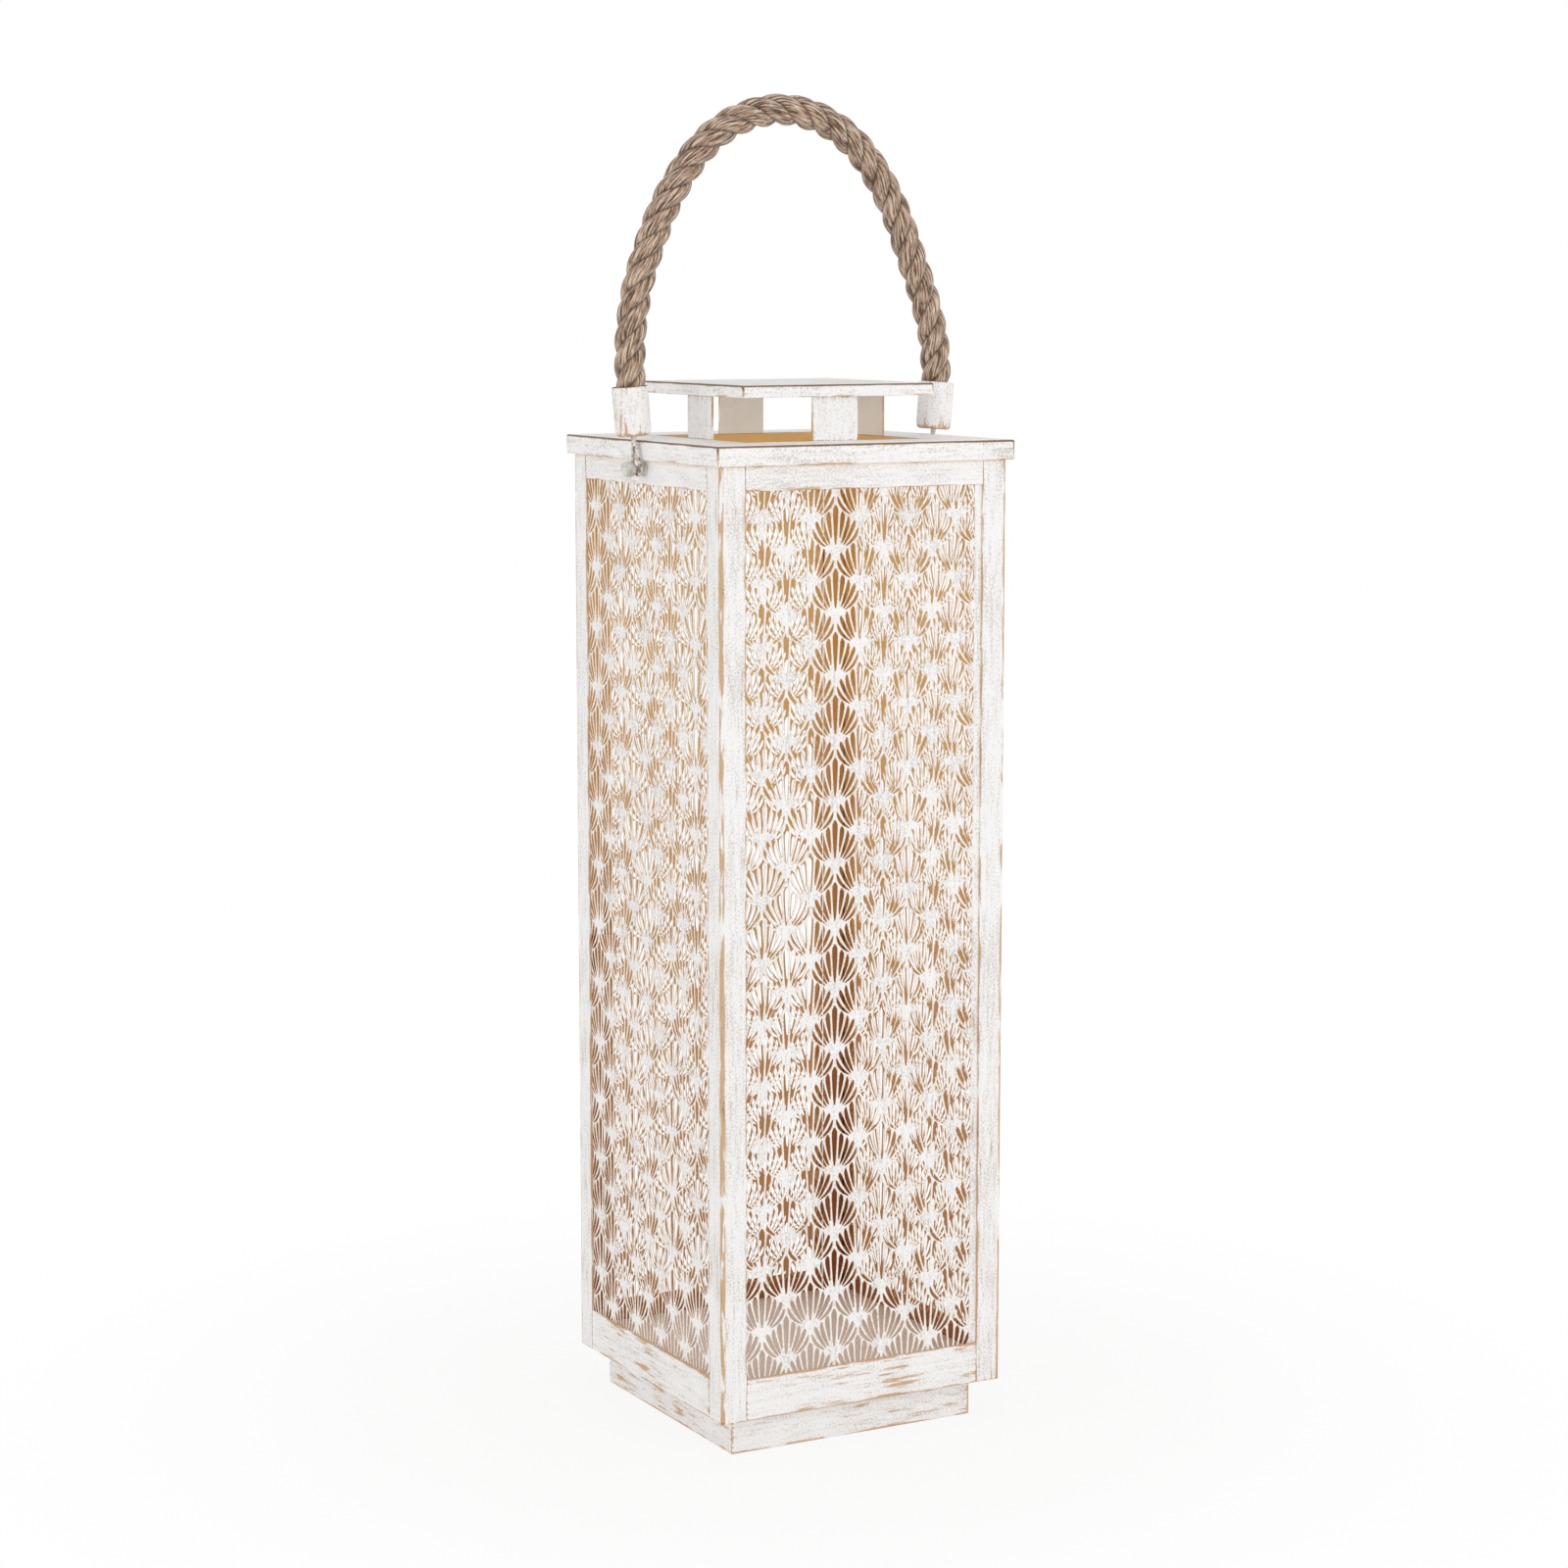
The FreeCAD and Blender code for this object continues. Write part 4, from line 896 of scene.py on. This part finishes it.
class LANTERN_OT_fittings(bpy.types.Operator):
    """Ferrules, eyes, studs and door knob in rubbed paint, and the bare steel of hinges, nuts and catch"""
    bl_idname = "lantern.fittings"
    bl_label = "Metal fittings"

    def execute(self, context):
        sizes = context.scene.lantern_sizes
        for side, (near, far) in (("left", ROPE_ROUTE[:2]), ("right", ROPE_ROUTE[:-3:-1])):
            axis = Vector((far[0] - near[0], 0, far[1] - near[1])).normalized()
            foot = Vector((near[0], 0, near[1])) - axis * FERRULE_LAP
            place = Matrix.Translation(foot) @ UP.rotation_difference(axis).to_matrix().to_4x4()
            profile = [
                (out * sizes.ferrule_radius, up * sizes.ferrule_length, wear) for out, up, wear in FERRULE_PROFILE]
            work = turned(profile, place, sides=64)
            piece = new_piece(f"ferrule_{side}_washed", work, "washed_fitting", smooth=True)
            settle(piece, "handle", "washed_metal", f"ferrule_{side}")
            for node, skin in ((f"eye_{side}", "worn_wire"), (f"stud_{side}", "stud_enamel")):
                settle(frame_piece(f"{node}_washed", node, skin), BODY_OF[node], "washed_metal", node)
        settle(frame_piece("door_knob_washed", "door_knob", "washed_fitting"), "door", "washed_metal", "door_knob")
        for node, item in frame["nodes"].items():
            if node.startswith(("hinge_", "stud_nut", "catch_")):
                skin = "bronzed_steel" if node.startswith("catch_") else "hinge_steel"
                item.data.materials.clear()
                item.data.materials.append(finishes()[skin])
        return {"FINISHED"}


# Half profile of a screw's head in shares of its radius, from its underside to the middle of its top.
SCREW_PROFILE = ((0, -0.1), (0.95, -0.1), (1, 0.12), (0.8, 0.34), (0.35, 0.44), (0, 0.2))
SCREW_INSET = 2.5 * MM  # from the free edge of a hinge leaf to the screws
SCREW_FIRST, SCREW_APART = 0.22, 0.56  # from a leaf's foot and from screw to screw, as shares of its height
LEAF_FACE = 101 * MM  # outer face of the hinge leaves, behind the lantern's middle


def screw_tree():
    """Node tree that sets screws in a row."""
    tree, given = new_tree(
        "hinge_screws", screw="Object", first="Vector", rise="Vector", count="Int", finish="Material")
    line = add_node(tree, "GeometryNodeMeshLine", {
        "Count": given["count"], "Start Location": given["first"], "Offset": given["rise"]})
    screw = add_node(tree, "GeometryNodeObjectInfo", {"Object": given["screw"]}).outputs["Geometry"]
    copies = add_node(tree, "GeometryNodeInstanceOnPoints", {"Points": line, "Instance": screw})
    real = add_node(tree, "GeometryNodeRealizeInstances", {"Geometry": copies})
    dressed = add_node(tree, "GeometryNodeSetMaterial", {"Geometry": real, "Material": given["finish"]})
    add_node(tree, "NodeGroupOutput", {"Geometry": dressed})
    return tree


class LANTERN_OT_screws(bpy.types.Operator):
    """Two screws in every hinge leaf"""
    bl_idname = "lantern.screws"
    bl_label = "Hinge screws"

    def execute(self, context):
        radius = context.scene.lantern_sizes.screw_radius
        outward = Matrix.Rotation(-math.pi / 2, 4, "X")
        profile = [(out * radius, up * radius, 0) for out, up in SCREW_PROFILE]
        screw = new_piece("screw", turned(profile, outward, sides=18), "bright_steel", smooth=True)
        tree = screw_tree()
        for leaf in ("post", "door"):
            work = bmesh.new()
            for level in ("lower", "upper"):
                node = f"hinge_{leaf}_leaf_{level}"
                low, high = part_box(node)
                across = low.x + SCREW_INSET if leaf == "door" else high.x - SCREW_INSET
                tall = high.z - low.z
                mesh = from_nodes(
                    f"{node}_screws", tree, screw=screw, first=(across, LEAF_FACE, low.z + SCREW_FIRST * tall),
                    rise=(0, 0, SCREW_APART * tall), count=2, finish=finishes()["bright_steel"])
                work.from_mesh(mesh)
            piece = new_piece(f"hinge_{leaf}_screws", work, "bright_steel", smooth=True)
            settle(piece, BODY_OF[node], "steel")
        bpy.data.objects.remove(screw)
        return {"FINISHED"}


FLOOR_REACH = 12.0  # metres from the lantern to the floor's edges
# Soft square lamps: place, aim, side in metres and power in watts.
LAMPS = {
    "key": ((0.9, -2.6, 1.2), (0, 0, 0.4), 1.6, 14.0),
    "side": ((-2.6, -0.3, 1.1), (0, 0, 0.4), 1.6, 8.0),
    "top": ((0.0, 0.0, 2.6), (0, 0, 0.6), 1.2, 4.0),
}
CAMERA_PLACE = (-1.0939, -1.9870, 0.7177)
CAMERA_TURN, CAMERA_DIP = 0.5025, math.radians(7.896)  # to the right of straight back, and below level
CAMERA_LENS, CAMERA_SENSOR = 82.67, 36.0  # millimetres


def shown(tree):
    """One for rays that show the background itself: straight, in gloss or through something clear."""
    rays = add_node(tree, "ShaderNodeLightPath").outputs
    total = rays["Is Camera Ray"]
    for ray in ("Is Glossy Ray", "Is Transmission Ray"):
        total = add_node(tree, "ShaderNodeMath", {0: total, 1: rays[ray]}, operation="ADD")
    return total


def pale_floor():
    """A wide floor: matt off-white for the light that it sends back, and white with a faint shade to look at."""
    floor = bpy.data.objects.new("floor", bpy.data.meshes.new("floor"))
    corners = [(x * FLOOR_REACH, y * FLOOR_REACH, 0) for x, y in ((-1, -1), (1, -1), (1, 1), (-1, 1))]
    floor.data.from_pydata(corners, [], [(0, 1, 2, 3)])
    tree, place = new_material("studio_floor")
    matt = add_node(tree, "ShaderNodeBsdfPrincipled", {"Base Color": colour(linear("#F4F3F1")), "Roughness": 0.9})
    away = add_node(tree, "ShaderNodeVectorMath", {0: place}, operation="LENGTH").outputs["Value"]
    fade = add_node(tree, "ShaderNodeMapRange", {
        "Value": away, "From Min": 0.15, "From Max": 0.6, "To Min": 0.84}, **SMOOTH)
    share = add_node(tree, "ShaderNodeMath", {0: shown(tree), 1: fade}, operation="MULTIPLY", use_clamp=True)
    white = add_node(tree, "ShaderNodeEmission", {"Color": WHITE, "Strength": 1.0})
    blend = add_node(tree, "ShaderNodeMixShader", {0: share, 1: matt, 2: white})
    add_node(tree, "ShaderNodeOutputMaterial", {"Surface": blend})
    floor.data.materials.append(bpy.data.materials["studio_floor"])
    return floor


def soft_sky():
    """White all round, and for the light that it gives weaker overhead."""
    world = bpy.data.worlds.new("studio")
    world.use_nodes = True
    tree = world.node_tree
    tree.nodes.clear()
    around = add_node(tree, "ShaderNodeTexCoord").outputs["Generated"]
    upward = add_node(tree, "ShaderNodeSeparateXYZ", {0: around}).outputs["Z"]
    soft = add_node(tree, "ShaderNodeMapRange", {"Value": upward, "To Min": 1.1, "To Max": 0.55}, **SMOOTH)
    # Sockets 2 and 3 of a Mix node take plain values.
    strength = add_node(tree, "ShaderNodeMix", {SHARE: shown(tree), 2: soft, 3: 1.0})
    sky = add_node(tree, "ShaderNodeBackground", {"Color": WHITE, "Strength": strength})
    add_node(tree, "ShaderNodeOutputWorld", {"Surface": sky})
    return world


class LANTERN_OT_stage(bpy.types.Operator):
    """Pale floor, soft light and the camera"""
    bl_idname = "lantern.stage"
    bl_label = "Stage"

    def execute(self, context):
        scene = context.scene
        floor = pale_floor()
        context.collection.objects.link(floor)
        scene.world = soft_sky()
        for name, (spot, aim, side, watts) in LAMPS.items():
            lamp = bpy.data.lights.new(name, "AREA")
            lamp.shape = "SQUARE"
            lamp.size = side
            lamp.energy = watts
            holder = bpy.data.objects.new(name, lamp)
            holder.location = spot
            holder.rotation_euler = (Vector(aim) - Vector(spot)).to_track_quat("-Z", "Y").to_euler()
            context.collection.objects.link(holder)
        camera = bpy.data.cameras.new("camera")
        camera.sensor_width = CAMERA_SENSOR
        camera.lens = CAMERA_LENS
        holder = bpy.data.objects.new("camera", camera)
        holder.location = CAMERA_PLACE
        holder.rotation_euler = (math.pi / 2 - CAMERA_DIP, 0, -CAMERA_TURN)
        context.collection.objects.link(holder)
        scene.camera = holder
        scene.view_settings.view_transform = "Standard"
        return {"FINISHED"}


class LANTERN_PT_pieces(bpy.types.Panel):
    """Lists the lantern's pieces and their sizes and colours"""
    bl_idname = "LANTERN_PT_pieces"
    bl_label = "Candle lantern"
    bl_space_type = "VIEW_3D"
    bl_region_type = "UI"
    bl_category = "Lantern"

    def draw(self, context):
        for operator in OPERATORS:
            self.layout.operator(operator.bl_idname)
        for group in (context.scene.lantern_sizes, context.scene.lantern_finish):
            box = self.layout.box()
            for name in group.__annotations__:
                box.prop(group, name)


OPERATORS = [
    LANTERN_OT_boards, LANTERN_OT_fretwork, LANTERN_OT_rope, LANTERN_OT_fittings, LANTERN_OT_screws,
    LANTERN_OT_stage,
]
CLASSES = [LanternFinish, LanternSizes, *OPERATORS, LANTERN_PT_pieces]


def register():
    for item in CLASSES:
        bpy.utils.register_class(item)
    bpy.types.Scene.lantern_finish = PointerProperty(type=LanternFinish)
    bpy.types.Scene.lantern_sizes = PointerProperty(type=LanternSizes)


def unregister():
    del bpy.types.Scene.lantern_sizes
    del bpy.types.Scene.lantern_finish
    for item in reversed(CLASSES):
        bpy.utils.unregister_class(item)


def main():
    register()
    bpy.ops.lantern.boards()
    bpy.ops.lantern.fretwork()
    bpy.ops.lantern.rope()
    bpy.ops.lantern.fittings()
    bpy.ops.lantern.screws()
    bpy.ops.lantern.stage()


if __name__ == "__main__":
    main()
